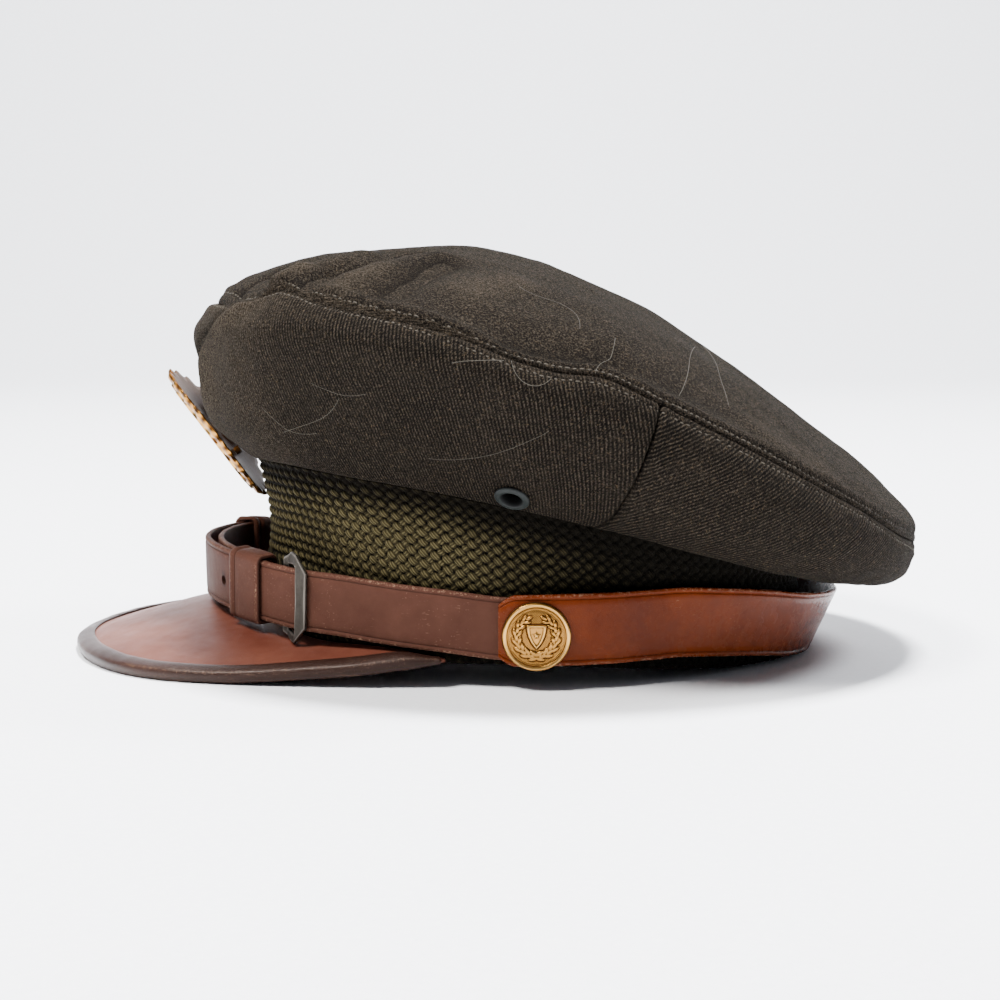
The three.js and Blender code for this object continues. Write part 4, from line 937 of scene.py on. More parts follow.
def top_panel(res):
    """Top panel: fine rings near the seam, wider ones toward the middle."""
    around, whole = int(420 * res), 120
    near = NEAR_ZONE * np.linspace(0, 1, int(38 * res)) ** 1.35
    far = whole * np.linspace(NEAR_ZONE / whole, 1, int(52 * res))[1:-1] ** 0.92
    angle = np.arange(around) * 360 / around - 180
    dist = np.concatenate([near, far])
    a2, d2 = np.meshgrid(angle, dist, indexing="ij")
    radius = np.hypot(SEAM_A * np.cos(np.radians(a2)), SEAM_B * np.sin(np.radians(a2)))
    past = (d2 - NEAR_ZONE) * (radius - NEAR_ZONE) / (whole - NEAR_ZONE)
    d2 = np.where(d2 > NEAR_ZONE, NEAR_ZONE + past, d2)
    p = top_surface(a2, d2)
    n = grid_normals(p, ring=True)
    n *= np.sign(n[..., 2:].mean())
    real = run_lengths(p) + SEAM_EDGE
    outer = p + n * top_relief(a2, real, p)[..., None]
    pick = np.unique(np.linspace(0, len(dist) - 1, 16).astype(int))
    inner = (p - n * cloth_thick(real)[..., None])[:, pick]
    m_o, m_i = outer.shape[1], inner.shape[1]
    verts = np.concatenate([outer.reshape(-1, 3), inner.reshape(-1, 3),
                            [outer[:, -1].mean(0)], [inner[:, -1].mean(0)]])
    off = around * m_o
    faces = [grid_faces(around, m_o, 0), grid_faces(around, m_i, off)[:, ::-1]]
    i = np.arange(around)
    k = (i + 1) % around
    faces.append(np.stack([i * m_o, off + i * m_i, off + k * m_i, k * m_o], -1))
    tips = len(verts) - 2
    faces = np.concatenate(faces).tolist()
    faces += [[int(q * m_o + m_o - 1), int(r * m_o + m_o - 1), tips] for q, r in zip(i, k)]
    faces += [[int(off + r * m_i + m_i - 1), int(off + q * m_i + m_i - 1), tips + 1] for q, r in zip(i, k)]
    turn = TOP_RIB_TURN
    plan = np.stack([verts[:, 0] * math.cos(turn) + verts[:, 1] * math.sin(turn), verts[:, 1]], -1)
    rel = (0.42 + 0.35 * bell(real - 3, 5) * ramp(np.abs(a2), 60, 100)).ravel()
    rel = np.pad(rel, (0, len(verts) - len(rel)), constant_values=0.5)
    obj = new_object("crown_top_cloth", verts, faces, plan, rel)
    # Crest for the cloth's colour: wear and painted highlight on fold ridges and gather crests, painted shade
    # in fold hollows and between gathers
    pleat = gather(arc_at(p), real) * gathered(np.abs(a2)) * bell(real - 2.4, 2.2)
    add_values(obj, "crest", fold_shift(p, FINE_FOLDS) / 2.4 * ramp(real, 1, 7) + 1.3 * pleat)
    face_out(obj)
    return obj


def stitch_line_top():
    """Stitch row beside the seam on the top panel, with its normals."""
    angle = np.arange(-180, 180.01, 0.4)
    dist = stitch_depth(np.abs(angle))[0]
    slope = np.interp(np.abs(angle), CORNER[0], CORNER[3])
    p = top_surface(angle, dist / slope)
    q, r = top_surface(angle, dist / slope + 1), top_surface(angle + 0.5, dist / slope)
    n = np.cross(q - p, r - p)
    n = unit(n * np.sign(n[:, 2:]))
    return p + n * (top_relief(angle, dist, p) + 0.1)[:, None], n


def stitch_line_wall(side, front):
    """Stitch row just under the seam on one quarter, with its normals."""
    outer, _, n, angle, _, dist, _ = wall_surface(side, front, 200, 90)
    want = stitch_depth(angle[:, -1])[1]
    read = lambda grid: np.array([[np.interp(-w, -d, row[:, k]) for k in range(3)]
                                  for w, d, row in zip(want, dist, grid)])
    return read(outer), read(n)


def lint_hairs():
    """Pale hairs that cling to the cloth: thin tubes along smooth curves on the wall (0) or the top (1)."""
    t = np.linspace(0, 1, 28)
    weights = np.stack([(1 - t) ** 3, 3 * t * (1 - t) ** 2, 3 * t * t * (1 - t), t ** 3])
    verts, faces, sides = [], [], 4
    for k, kind in enumerate(LINT_ROWS["kind"]):
        angle = weights.T @ [LINT_ROWS[f"a{j}"][k] for j in range(4)]
        level = weights.T @ [LINT_ROWS[f"d{j}"][k] for j in range(4)]
        place = top_surface if kind else wall_point
        p = place(angle, level)
        ahead, above = place(angle + 0.5, level), place(angle, level + (0.5 if kind else 0.01))
        n = unit(np.cross(ahead - p, above - p))
        n *= np.where((n @ np.array([0, -1.0, 0.35])) < 0, -1.0, 1.0)[:, None]
        p = p + n * (1.25 + 0.25 * np.sin(t * 9 + k))[:, None]
        side = unit(np.cross(np.gradient(p, axis=0), n))
        base, a = len(verts), np.arange(sides)[None, :, None] * math.pi / 2
        tube = p[:, None] + (n[:, None] * np.cos(a) + side[:, None] * np.sin(a)) * LINT_R
        verts += list(tube.reshape(-1, 3))
        for low in range(base, len(verts) - sides, sides):
            for q in range(sides):
                r = (q + 1) % sides
                faces.append((low + q, low + r, low + sides + r, low + sides + q))
        faces.append(tuple(range(base, base + sides)))
        faces.append(tuple(range(len(verts) - sides, len(verts)))[::-1])
    obj = new_object("lint", np.array(verts), faces)
    face_out(obj)
    return obj


# Braid

def band_sections(res):
    """Braided band: outer and inner columns, the strands' UV and the bumps' relief, which also carries
    painted shade in the gaps, toward the foot, under the crown and toward the back.
    """
    around, low_rows, high_rows = int(1000 * res), int(16 * res), int(74 * res)
    angle = np.arange(around) * 360 / around - 180
    size = np.abs(angle)
    side = np.where(angle < 0, -1.0, 1.0)
    read = lambda rows, name: column(rows, "angle", name, size)[:, None]
    foot, waist = read(BAND_ROWS, "foot"), read(BAND_ROWS, "waist")
    top = read(WALL_ROWS, "z0") - GAP
    edge = np.minimum(read(WALL_ROWS, "e0"), 0)

    def at(level, depth):
        draw = edge * level - waist * np.sin(np.pi * level)
        x, y = band_plan(np.repeat(size[:, None], level.shape[1], 1), draw + depth)
        return np.stack([x, side[:, None] * y, mix(foot, top, level)], -1)

    fine_from = 0.42
    steps = np.concatenate([np.linspace(0, fine_from, low_rows, endpoint=False),
                            np.linspace(fine_from, 1, high_rows)])
    level = np.repeat(steps[None], around, 0)
    flat = at(level, 0)
    middle = flat[:, low_rows + high_rows // 2]
    arc = np.concatenate([[0], np.cumsum(np.linalg.norm(np.diff(middle, axis=0), axis=1))])
    around_mm = arc[-1] + np.linalg.norm(middle[0] - middle[-1])
    cells = round(around_mm / BRAID_WIDE)
    high = mix(*BRAID_HIGH, ramp(size, 84, 148))[:, None]
    drop = top - flat[..., 2]
    wob, wob2 = noise3(flat, 11, 8), noise3(flat, 13, 9)
    row = drop / high + 0.045 * wob2
    shear = 0.5 * ramp(size, 100, 152)[:, None]
    across = arc[:, None] * cells / around_mm + 0.05 * wob + shear * (row - 4.5)

    def bumps(x, y, wide, tall, power):
        """Round bumps on whole steps of x and y."""
        dx, dy = x - np.round(x), y - np.round(y)
        r = (np.abs(dx) / wide) ** power + (np.abs(dy) / tall) ** power
        return np.clip(1 - r, 0, 1) ** 0.42

    seed = np.stack([np.round(across), np.round(row), across * 0], -1)
    raw_big = bumps(across, row, 0.49, mix(0.46, 0.48, shear * 2), 1.6)
    raw_small = bumps(across + 0.5, row + 0.5, 0.37, 0.36, 1.7)
    big = raw_big * (0.94 + 0.07 * noise3(seed, 3.1, 10))
    small = raw_small * mix(0.74, 0.36, shear * 2)
    over = big >= small
    height = np.maximum(big, small)
    inner = at(np.repeat(np.linspace(0, 1, 5)[None], around, 0), -BAND_WALL)
    outer = at(level, 1.45 * height - 1.05)
    slant = 0.72 * arc[:, None] + np.where(over, 0.69, -0.69) * drop
    # Painted shade: the braid darkens toward its foot, where the strap shades it
    foot_shade = ramp(level, 0.30, 0.50)
    uv = np.stack([slant, 0.69 * arc[:, None] - np.where(over, 0.72, -0.72) * drop], -1)
    # Painted shade: darker just under the crown's overhang and toward the back
    shade = mix(0.3, 1, ramp(drop, 0, 16)) * mix(0.2, 1, ramp(size, 60, 125)[:, None])
    # The relief falls in the gaps between bumps, which the braid's colour shows as painted shade
    tone = np.where(over, raw_big, raw_small * mix(0.9, 0.3, shear * 2))
    return outer, inner, uv, tone * mix(0.35, 1, foot_shade) * shade


# Leather

def peak_sections(res):
    """Peak plate: outer and inner columns, UV and relief."""
    count = int(260 * res)
    even, bend = np.linspace(-1, 1, count), math.pi / 2 * 0.98
    s = 0.5 * np.sin(even * bend) / math.sin(bend) + 0.5 * even
    t = np.concatenate([[0.0, 0.008], np.linspace(0.03, 0.93, int(40 * res)), [0.955, 0.975, 0.985]])
    s2, t2 = np.meshgrid(s, t, indexing="ij")
    p = peak_point(s2, t2)
    n = grid_normals(p)
    n *= np.sign(n[..., 2:].mean())
    thick = PEAK_THICK * mix(0.4, 1, ramp(1 - np.abs(s2), 0, 0.14))
    p = p - n * (PEAK_THICK - thick)[..., None] / 2
    wave = 0.3 * noise3(p, 52, 12) + 0.07 * noise3(p, 14, 13)
    wave = wave * ramp(t2, 0, 0.15) * (1 - ramp(t2, 0.8, 0.94))
    outer = p + n * wave[..., None]
    pick = np.linspace(0, len(t) - 1, 12).astype(int)
    inner = (p - n * thick[..., None])[:, pick]
    # Painted shade: low relief darkens a groove beside the binding and the plate's ends under the binding
    relief = 0.5 - 0.42 * bell(t2 - 0.915, 0.02) + 0.25 * bell(t2 - 0.8, 0.1)
    relief = relief * ramp(1 - np.abs(s2), 0.0, 0.04)
    return outer, inner, np.stack([s2 * 150, t2 * 60], -1), relief


def smooth_loop(points, per, hold=()):
    """Closed loop of 2-D points rounded by Catmull-Rom; corners named in hold stay crisp."""
    pts = np.asarray(points, float)
    n = len(pts)
    out = []
    for i in range(n):
        p0, p1, p2, p3 = pts[(i - 1) % n], pts[i], pts[(i + 1) % n], pts[(i + 2) % n]
        m0 = (p2 - p0) / 2 * (0 if i in hold else 1)
        m1 = (p3 - p1) / 2 * (0 if (i + 1) % n in hold else 1)
        out += [hermite(k / per, p1, p2, m0, m1) for k in range(per)]
    return np.array(out)


def binding_piece(res):
    """Leather folded round the rim of the peak, with rubbed edges."""
    count, per = int(300 * res), 3
    s = np.linspace(0.985, -0.985, count)
    edge, inward = (peak_point(s, np.full(count, t)) for t in (0.985, 0.93))
    sc, tm = np.clip(s, -0.98, 0.98), np.full(count, 0.95)
    up = unit(np.cross(peak_point(sc + 0.002, tm) - peak_point(sc - 0.002, tm),
                       peak_point(sc, tm + 0.002) - peak_point(sc, tm - 0.002)))
    up *= np.sign(up[:, 2:])
    axis = unit(inward - edge)
    mid = edge - up * PEAK_THICK / 2
    near = ramp(1 - np.abs(s), 0, 0.16)
    sections, relief, dents = [], [], 0.10 * noise3(mid, 9, 21) + 0.14 * noise3(mid, 31, 22)
    for i in range(count):
        wide = BINDING_WIDE * mix(0.62, 1, near[i])
        slot = PEAK_THICK / 2 * mix(0.4, 1, near[i]) + GAP * 0.8
        half = mix(slot + 0.3, BINDING_THICK / 2, near[i])
        loop = smooth_loop([
            (wide - 1.3, half * 0.74), (wide - 2.2, half * 0.93), (wide * 0.3, half), (-0.9, half * 0.78),
            (-1.75, 0), (-0.9, -half * 0.78), (wide * 0.3, -half), (wide - 2.2, -half * 0.93),
            (wide - 1.3, -half * 0.74), (wide - 1.3, -slot), (-GAP, -slot), (-GAP, slot), (wide - 1.3, slot)],
            per, hold=(9, 10, 11, 12))
        skin = np.arange(len(loop)) < 9 * per - 1
        a, b = loop[:, 0], loop[:, 1] * (1 + np.where(skin, dents[i], 0) / half)
        sections.append(mid[i] + axis[i] * a[:, None] + up[i] * b[:, None])
        lip = np.clip(1 - np.abs(a - (wide - 1.9)) / 1.2, 0, 1) * 0.3
        crest = np.clip(1 - np.abs(a + 0.6) / 1.6, 0, 1) * 0.45
        # Painted shade: relief drops by 0.5 along the slot and the lips that meet the plate
        relief.append(0.5 + np.maximum(lip, crest) - 0.5 * (a > wide - 1.35))
    sections, relief = np.array(sections), np.array(relief)
    return sweep("peak_binding_leather", sections, np.zeros((*sections.shape[:2], 2)), relief)


def strap_profile(wide, thick):
    """Closed strap section: (height, depth, relief) rows, with an embossed line near each edge."""
    half = wide / 2
    other = lambda rows: [(-h, d, r) for h, d, r in reversed(rows)]
    # The embossed line's low relief darkens it as painted shade
    face = [(half - 0.9, 0.02, 0.85), (half - 1.15, 0.03, 0.62), (half - 1.45, 0.16, 0.3),
            (half - 1.7, 0.3, 0.08), (half - 1.95, 0.16, 0.3), (half - 2.3, 0.02, 0.55), (half - 4, 0, 0.5),
            (half - 6.2, 0, 0.5)]
    edge = [(-half + 0.45, 0.1, 0.95), (-half + 0.12, 0.38, 1.0), (-half, 0.8, 0.85),
            (-half, thick - 0.5, 0.5), (-half + 0.25, thick - 0.12, 0.4), (-half + 0.7, thick, 0.4)]
    back = [(-half / 2, thick, 0.4), (0, thick, 0.4), (half / 2, thick, 0.4)]
    return np.array(face + [(0, -0.05, 0.5)] + other(face) + edge + back + other(edge))


def strap_piece(name, rows, wide, angles, reach, narrow, seed, wave=0.12):
    """Strap swept along signed angles, with its ends narrowed by given widths."""
    prof = strap_profile(wide, STRAP_THICK)
    size = np.abs(angles)
    side = np.where(angles < 0, -1.0, 1.0)[:, None]
    mid = column(rows, "angle", "mid", size)[:, None]
    lean = column(rows, "angle", "lean", size)[:, None]
    out0 = column(rows, "angle", reach, size)[:, None]
    place0 = np.stack([angles, angles * 0, angles * 0], -1)
    out0 = out0 + wave * noise3(place0, 17, seed)[:, None]
    mid = mid + 0.10 * noise3(place0, 13, seed + 1)[:, None]
    tilt = np.arctan2(lean, wide)
    half = wide / 2
    h = prof[None, :, 0] * (1 - narrow[:, None] / (2 * half))
    depth = prof[None, :, 1] + np.zeros_like(h)
    fray = 0.03 * noise3(np.stack([angles[:, None] * 2 + h * 0, h * 0.3, h * 0], -1), 3, seed + 2)
    h = h + fray * np.sign(h) * (np.abs(prof[None, :, 0]) > half - 0.7)
    out = out0 + lean / 2 + h * np.sin(tilt) - depth * np.cos(tilt)
    x, y = band_plan(np.repeat(size[:, None], h.shape[1], 1), out)
    z = mid + h * np.cos(tilt) + depth * np.sin(tilt)
    sections = np.stack([x, side * y, z], -1)
    relief = np.repeat(prof[None, :, 2], len(angles), 0)
    ends = np.minimum(np.arange(len(angles)), np.arange(len(angles))[::-1])[:, None]
    relief = np.where(ends < 2, 0.85, relief)
    return sweep(name, sections, np.stack([angles[:, None] + h * 0, h], -1), relief)


def front_angles(start, stop, count):
    """Signed angles along a front strap layer and how much its rounded ends narrow it."""
    ends = np.array([0, 0.15, 0.4, 0.8, 1.3, 2.0, 2.7, 3.4])
    raw = np.concatenate([start + ends, np.linspace(start + 4, stop - 4, count), (stop - ends)[::-1]])
    near = np.minimum(np.abs(raw - start), np.abs(raw - stop))
    return np.where(raw > 180, raw - 360, raw), 5 * (1 - np.clip(near / 3.2, 0, 1)) ** 2


def rear_angles(count):
    """Signed angles along the rear strap and how much its rounded ends narrow it."""
    end = REAR_STRAP_END
    ends = np.array([0, 0.12, 0.35, 0.7, 1.2, 1.8, 2.4, 3.0])
    raw = np.concatenate([end - ends, np.linspace(end - 3.6, -end + 3.6, count), (-end + ends)[::-1]])
    return raw, 6 * (1 - np.clip((end - np.abs(raw)) / 3, 0, 1)) ** 1.6


def keeper_piece(name, angle, stack, half):
    """Leather loop with a rolled edge toward the button."""
    origin, along, out, up = strap_frame(angle, "outer")
    wall, corner = KEEPER_WALL, KEEPER_CORNER
    tall = FRONT_STRAP_WIDE / 2 + KEEPER_CLEAR - corner
    front, rear = KEEPER_CLEAR - corner, corner - stack - KEEPER_CLEAR
    loop = []
    for o, u, start in ((front, tall, 0), (rear, tall, 90), (rear, -tall, 180), (front, -tall, 270)):
        for k in range(9):
            a = math.radians(start + k * 90 / 8)
            loop.append((o + corner * math.cos(a), u + corner * math.sin(a), math.cos(a), math.sin(a)))
    dense = []
    for here, there in zip(np.array(loop), np.roll(loop, -1, 0)):
        steps = max(1, int(np.linalg.norm((there - here)[:2]) / 0.9))
        dense += [mix(here, there, k / steps) for k in range(steps)]
    place_out, place_up, norm_out, norm_up = np.array(dense).T[:, :, None, None]
    # Rows of (place along the strap, height over the loop's inner face, relief)
    # Relief 0 paints the loop's foot and the groove by its rolled edge dark as painted shade
    section = np.array([
        (-half, 0.25, 0), (-half + 0.05, 0.65, 0), (-half + 0.25, 0.95, 0.1), (-half + 0.7, wall - 0.1, 0.9),
        (-half + 1.4, wall + 0.05, 0.95), (-half + 2.4, wall + 0.2, 0.5), (-2, wall + 0.26, 0.5),
        (0, wall + 0.28, 0.5), (2, wall + 0.22, 0.5), (half - 3.7, wall + 0.12, 0.6),
        (half - 3.2, wall - 0.1, 0.3), (half - 2.8, wall - 0.25, 0), (half - 2.4, wall + 0.02, 0.5),
        (half - 1.6, wall + 0.3, 0.8), (half - 0.8, wall + 0.38, 0.95), (half - 0.1, wall + 0.1, 0.8),
        (half, 0.7, 0.5), (half, 0.2, 0.3), (half - 1, 0, 0.4), (0, 0, 0.4), (-half + 1, 0, 0.4)])
    verts = (origin + place_out * out + place_up * up + section[None, :, :1] * along
             + section[None, :, 1:2] * (norm_out * out + norm_up * up))
    relief = np.repeat(section[None, :, 2], len(verts), 0)
    return sweep(name, verts, np.zeros((*verts.shape[:2], 2)), relief, ring=True)


def ray_loop(points, centre, bearings):
    """Distances from a centre to a closed 2-D loop along bearings."""
    pts = np.asarray(points, float) - centre
    out = []
    for a in bearings:
        d = np.array([math.cos(a), math.sin(a)])
        best = 0
        for i in range(len(pts)):
            p, q = pts[i], pts[(i + 1) % len(pts)]
            e = q - p
            det = d[0] * -e[1] + d[1] * e[0]
            if abs(det) < 1e-9:
                continue
            r = (p[0] * -e[1] + p[1] * e[0]) / det
            s = (d[0] * p[1] - d[1] * p[0]) / det
            if r > 0 and -1e-6 <= s <= 1 + 1e-6:
                best = max(best, r)
        out.append(best)
    return np.array(out)


def buckle_piece(name, angle):
    """Flat frame with eased edges, its bars over and under the strap."""
    origin, along, out, up = strap_frame(angle, "outer" if angle > 0 else "inner")
    tall = FRONT_STRAP_WIDE / 2
    back, fore, hole = -6.8, 6.0, tall + 0.6
    outer = np.array([(back, -tall - 2.2), (-2.6, -tall - 4.2), (1.4, -tall - 4.2), (fore, -tall + 1.2),
                      (fore, tall - 0.2), (1.8, tall + 5.2), (-2.6, tall + 5.2), (back, tall + 2.6)])
    inner = np.array([(-4.6, -hole), (-0.2, -hole - 0.9), (1.7, -hole - 0.3), (1.7, hole + 0.3),
                      (-0.2, hole + 0.9), (-4.6, hole)])
    centre = np.array([-1.4, 0])
    corners = [math.atan2(*(p - centre)[::-1]) for p in list(outer) + list(inner)]
    bearings = np.array(sorted({round(a, 5) for c in corners for a in (c - 0.004, c + 0.004)}
                               | {round(a, 5) for a in np.linspace(-math.pi, math.pi, 180, endpoint=False)}))
    # Rows of (1 at the outer edge or 0 at the inner one, inset from it, height, relief)
    half, ease, brim = BUCKLE_HALF, BUCKLE_EASE, BUCKLE_BRIM
    prof = [(1, 0, half - ease, 0.8), (1, 0, ease - half, 0.6), (1, ease, -half, 0.6), (0, ease, -half, 0.4),
            (0, 0, ease - half, 0.5), (0, 0, half - ease, 0.7), (0, ease, half, 1.0), (0, brim, half, 0.45),
            (1, brim, half, 0.45), (1, ease, half, 1.0)]
    verts = []
    for a, far, near in zip(bearings, ray_loop(outer, centre, bearings), ray_loop(inner, centre, bearings)):
        for at_outer, inset, high, _ in prof:
            q = centre + (far - inset if at_outer else near + inset) * np.array([math.cos(a), math.sin(a)])
            lift = -STRAP_THICK / 2 + float(np.clip(q[0] + 1.45, -3.1, 3.1)) * 0.68 + high
            verts.append(origin - along * q[0] + out * lift + up * q[1])
    verts = np.array(verts).reshape(len(bearings), len(prof), 3)
    relief = np.repeat(np.array(prof)[None, :, 3], len(bearings), 0)
    obj = sweep(name, verts, np.zeros((*verts.shape[:2], 2)), relief, ring=True)
    obj.data.polygons.foreach_set("use_smooth", [False] * len(obj.data.polygons))
    return obj


# Struck metal

def shield_gap(x, y, wide, high):
    """Distance inside a plain heater shield, pointed below (negative outside)."""
    w, h = wide / 2, high / 2
    t = np.linspace(0, 1, 60)
    ex = w * ((1 - t) ** 2 + 2.04 * t * (1 - t))
    ey = h * ((1 - t) ** 2 - 0.5 * t * (1 - t) - t ** 2)
    width = np.interp(y, ey[::-1], ex[::-1], left=0)
    width = np.where(y < -h, -(-h - y), width)
    return np.minimum((width - np.abs(x)) * 0.9, h - y)


def star_gap(x, y, r):
    """Distance inside a five-pointed star (negative outside)."""
    a = np.mod(np.arctan2(x, y) + math.pi / 5, 2 * math.pi / 5) - math.pi / 5
    q = np.hypot(x, y)
    px, py = q * np.cos(a), np.abs(q * np.sin(a))
    inner = 0.42 * r
    ix, iy = inner * math.cos(math.pi / 5), inner * math.sin(math.pi / 5)
    ex, ey = ix - r, iy
    length = math.hypot(ex, ey)
    return ((r - px) * ey + py * ex) / length


def leaves(x, y, radius_x, radius_y, length, width, pairs):
    """Height of two laurel branches that rise from the foot, tips up, with paired leaves and a stem."""
    best = np.zeros_like(x)
    for side in (-1, 1):
        for k in range(pairs):
            a = math.radians(mix(-82, 58, k / (pairs - 1)))
            cx, cy = side * math.cos(a) * radius_x, math.sin(a) * radius_y
            tx, ty = -side * math.sin(a) * radius_x, math.cos(a) * radius_y
            size = math.hypot(tx, ty)
            tx, ty = tx / size, ty / size
            shrink = mix(1.0, 0.72, k / (pairs - 1))
            for splay, shift in ((0.42, 0.34), (-0.42, -0.34), (0.0, 0.0)):
                s = splay * side
                dx, dy = tx * math.cos(s) - ty * math.sin(s), tx * math.sin(s) + ty * math.cos(s)
                nx, ny = -ty * side, tx * side
                ox, oy = cx + nx * shift * width * 1.6, cy + ny * shift * width * 1.6
                if splay == 0.0:
                    ox, oy = ox + dx * length * 0.35, oy + dy * length * 0.35
                u = (x - ox) * dx + (y - oy) * dy
                v = -(x - ox) * dy + (y - oy) * dx
                lu, lv = length / 2 * shrink, width / 2 * shrink
                taper = np.clip(1 - (u / lu) ** 2, 0, 1) ** 0.8
                q = np.abs(v) / np.maximum(lv * taper, 1e-6)
                leaf = np.where(q < 1, np.sqrt(np.clip(1 - q * q, 0, 1)) * (0.55 + 0.45 * taper), 0)
                leaf = leaf - 0.25 * np.clip(1 - np.abs(v) / (lv * 0.22), 0, 1) * (leaf > 0.3)
                best = np.maximum(best, leaf)
    return best


def motif(x, y, wreath, leaf, shield, star, lift):
    """Raised laurel wreath round a plain shield with a small star: height, share of it and relief."""
    def raised(x, y):
        branch = leaves(x, y, *wreath, *leaf)
        gap = shield_gap(x, y, *shield)
        edge = shield[0] * 0.07
        body = ramp(gap, 0, edge) * 0.95 - 0.45 * ramp(gap, edge * 1.6, edge * 2.5)
        point = star_gap(x, y - shield[1] * 0.06, star)
        body = body + 0.55 * ramp(point, 0, star * 0.3) * (gap > 0)
        return np.maximum(branch * 0.85, body)

    high = raised(x, y)
    reach = leaf[1] * 0.3
    turns = np.arange(6) * math.pi / 3
    around = sum(raised(x + reach * math.cos(a), y + reach * math.sin(a)) for a in turns) / len(turns)
    shown = 0.42 + 0.5 * high - 1.5 * np.maximum(around - high, 0)
    return high * lift, high, np.clip(shown, 0, 1)


def disc_piece(name, height, rim, origin, out, up, under, n_around, n_rad, curl=None):
    """Struck plate: height field inside an outline, closed below by given rings (share, depth)."""
    a = np.arange(n_around) * 2 * math.pi / n_around
    k = np.concatenate([[0.004], np.linspace(0.02, 0.84, n_rad), np.linspace(0.845, 1, int(n_rad * 0.34))])
    a2, k2 = np.meshgrid(a, k, indexing="ij")
    rx, ry = rim(a2)
    x, y = rx * k2, ry * k2
    h, relief = height(x, y, a2, k2)
    edge = np.stack([*rim(a), np.zeros_like(a)], -1)
    low = np.stack([edge * share + (0, 0, depth) for share, depth in under], 1)
    p = np.concatenate([np.stack([x, y, h], -1), low], 1)
    if curl:
        p[..., 2] -= p[..., 0] ** 2 / (2 * curl)
    ax = np.cross(up, out)
    world = np.asarray(origin) + p[..., :1] * ax + p[..., 1:2] * up + p[..., 2:] * out
    rel = np.concatenate([relief, np.zeros(low.shape[:2])], 1)
    return sweep(name, world, np.zeros((*world.shape[:2], 2)), rel, ring=True)


def button_height(x, y, _turn, k):
    """Height and relief of a side button at shares k of its radius."""
    big = BUTTON_R
    r = k * big
    base = np.interp(r, [0, 0.36 * big, *(big - np.array([3.2, 2.1, 1.9, 1.7, 1.5, 0.8, 0.35, 0]))],
                     [2.9, 2.72, 2.1, 1.82, 2.0, 1.72, 2.1, 2.3, 2.05, 0.9])
    high, rel, shown = motif(x, y - 0.15, (6.2, 6.2), (3.3, 1.5, 7), (6.6, 8.0), 1.75, 0.62)
    inside = 1 - ramp(r, big - 2.35, big - 2.1)
    dots = np.clip(np.sin(x * 8.4) * np.sin(y * 8.4), 0, 1) * 0.06 * (rel < 0.05) * inside
    relief = np.where(r > big - 2.15, 0.35 + 0.6 * ramp(base, 1.75, 2.3), shown + dots * 4)
    return base + high * inside + dots - 0.12 * inside * (rel < 0.05), relief


def badge_height(x, y, turn, k):
    """Height and relief of the badge at shares k of its outline."""
    base = np.interp(k, [0, 0.4, 0.77, 0.785, 0.80, 0.86, 0.875, 0.89, 0.985, 1],
                     [1.95, 1.85, 1.6, 1.7, 2.65, 2.65, 1.75, 1.6, 1.15, 0.6])
    high, rel, shown = motif(x, y - 0.5, (13.2, 14.8), (6.4, 2.7, 8), (13.5, 16.5), 3.6, 1.15)
    inside = 1 - ramp(k, 0.75, 0.77)
    ray, big_ray = (np.abs(np.mod(turn * count / (2 * math.pi), 1) - 0.5) * 2 for count in (40, 20))
    outside = ramp(k, 0.88, 0.90)
    dots = np.clip(np.sin(x * 4.6) * np.sin(y * 4.6), 0, 1) * 0.12 * (rel < 0.05) * inside
    z = base + high * inside + dots + outside * (0.35 * ray + 0.25 * big_ray) * (1 - ramp(k, 0.95, 1.0))
    relief = np.where(k > 0.775, np.where(k > 0.88, 0.2 + 0.6 * ray, 0.9), shown)
    return z, relief


def button_piece(name, side, res):
    """Domed side button with its plain shank."""
    rim = lambda a: (BUTTON_R * np.cos(a), BUTTON_R * np.sin(a))
    under = [(1.0, 0.65), (0.985, 0.4), (0.95, 0.22), (0.3, 0.2), (0.174, 0.2), (0.174, -BUTTON_STAND),
             (0.01, -BUTTON_STAND)]
    origin = (BUTTON_X, -side * (BAND_B + BUTTON_STAND + GAP), BUTTON_Z)
    return disc_piece(name, button_height, rim, origin, np.array([0, -side, 0.0]), UP, under, int(216 * res),
                      int(80 * res))


def eyelet_piece(name, side):
    """Rolled ring round a ventilation hole."""
    origin, out = eyelet_frame(side)
    r, h = EYELET_R, EYELET_HOLE_R + 0.4
    # Rows of (radius, height, relief)
    # Relief 0 down into the hole and along the foot paints them near black as painted shade
    section = np.array([
        (h + 0.05, -CLOTH - 0.6, 0), (h + 0.6, -CLOTH - 0.6, 0), (h + 0.6, 0.45, 0), (r - 0.4, 0.45, 0),
        (r - 0.1, 0.6, 0.4), (r, 0.9, 0.6), (r - 0.12, 1.2, 0.8), (r - 0.5, 1.5, 1), (r - 1, 1.72, 1),
        (mix(h, r, 0.5), 1.82, 1), (h + 0.75, 1.68, 0.8), (h + 0.35, 1.4, 0.3), (h + 0.12, 1.0, 0),
        (h + 0.02, 0.5, 0)])
    ring = revolve(section[:, :2], 72, origin, out)
    relief = np.repeat(section[None, :, 2], len(ring), 0)
    return sweep(name, ring, np.zeros((*ring.shape[:2], 2)), relief, ring=True)


def badge_rim(a):
    """Scalloped outline of the badge."""
    r = 1 - 0.07 * (0.5 + 0.5 * np.cos((a - math.pi / 2) * 20 + math.pi))
    return r * BADGE_WIDE / 2 * np.cos(a), r * BADGE_HIGH / 2 * np.sin(a)


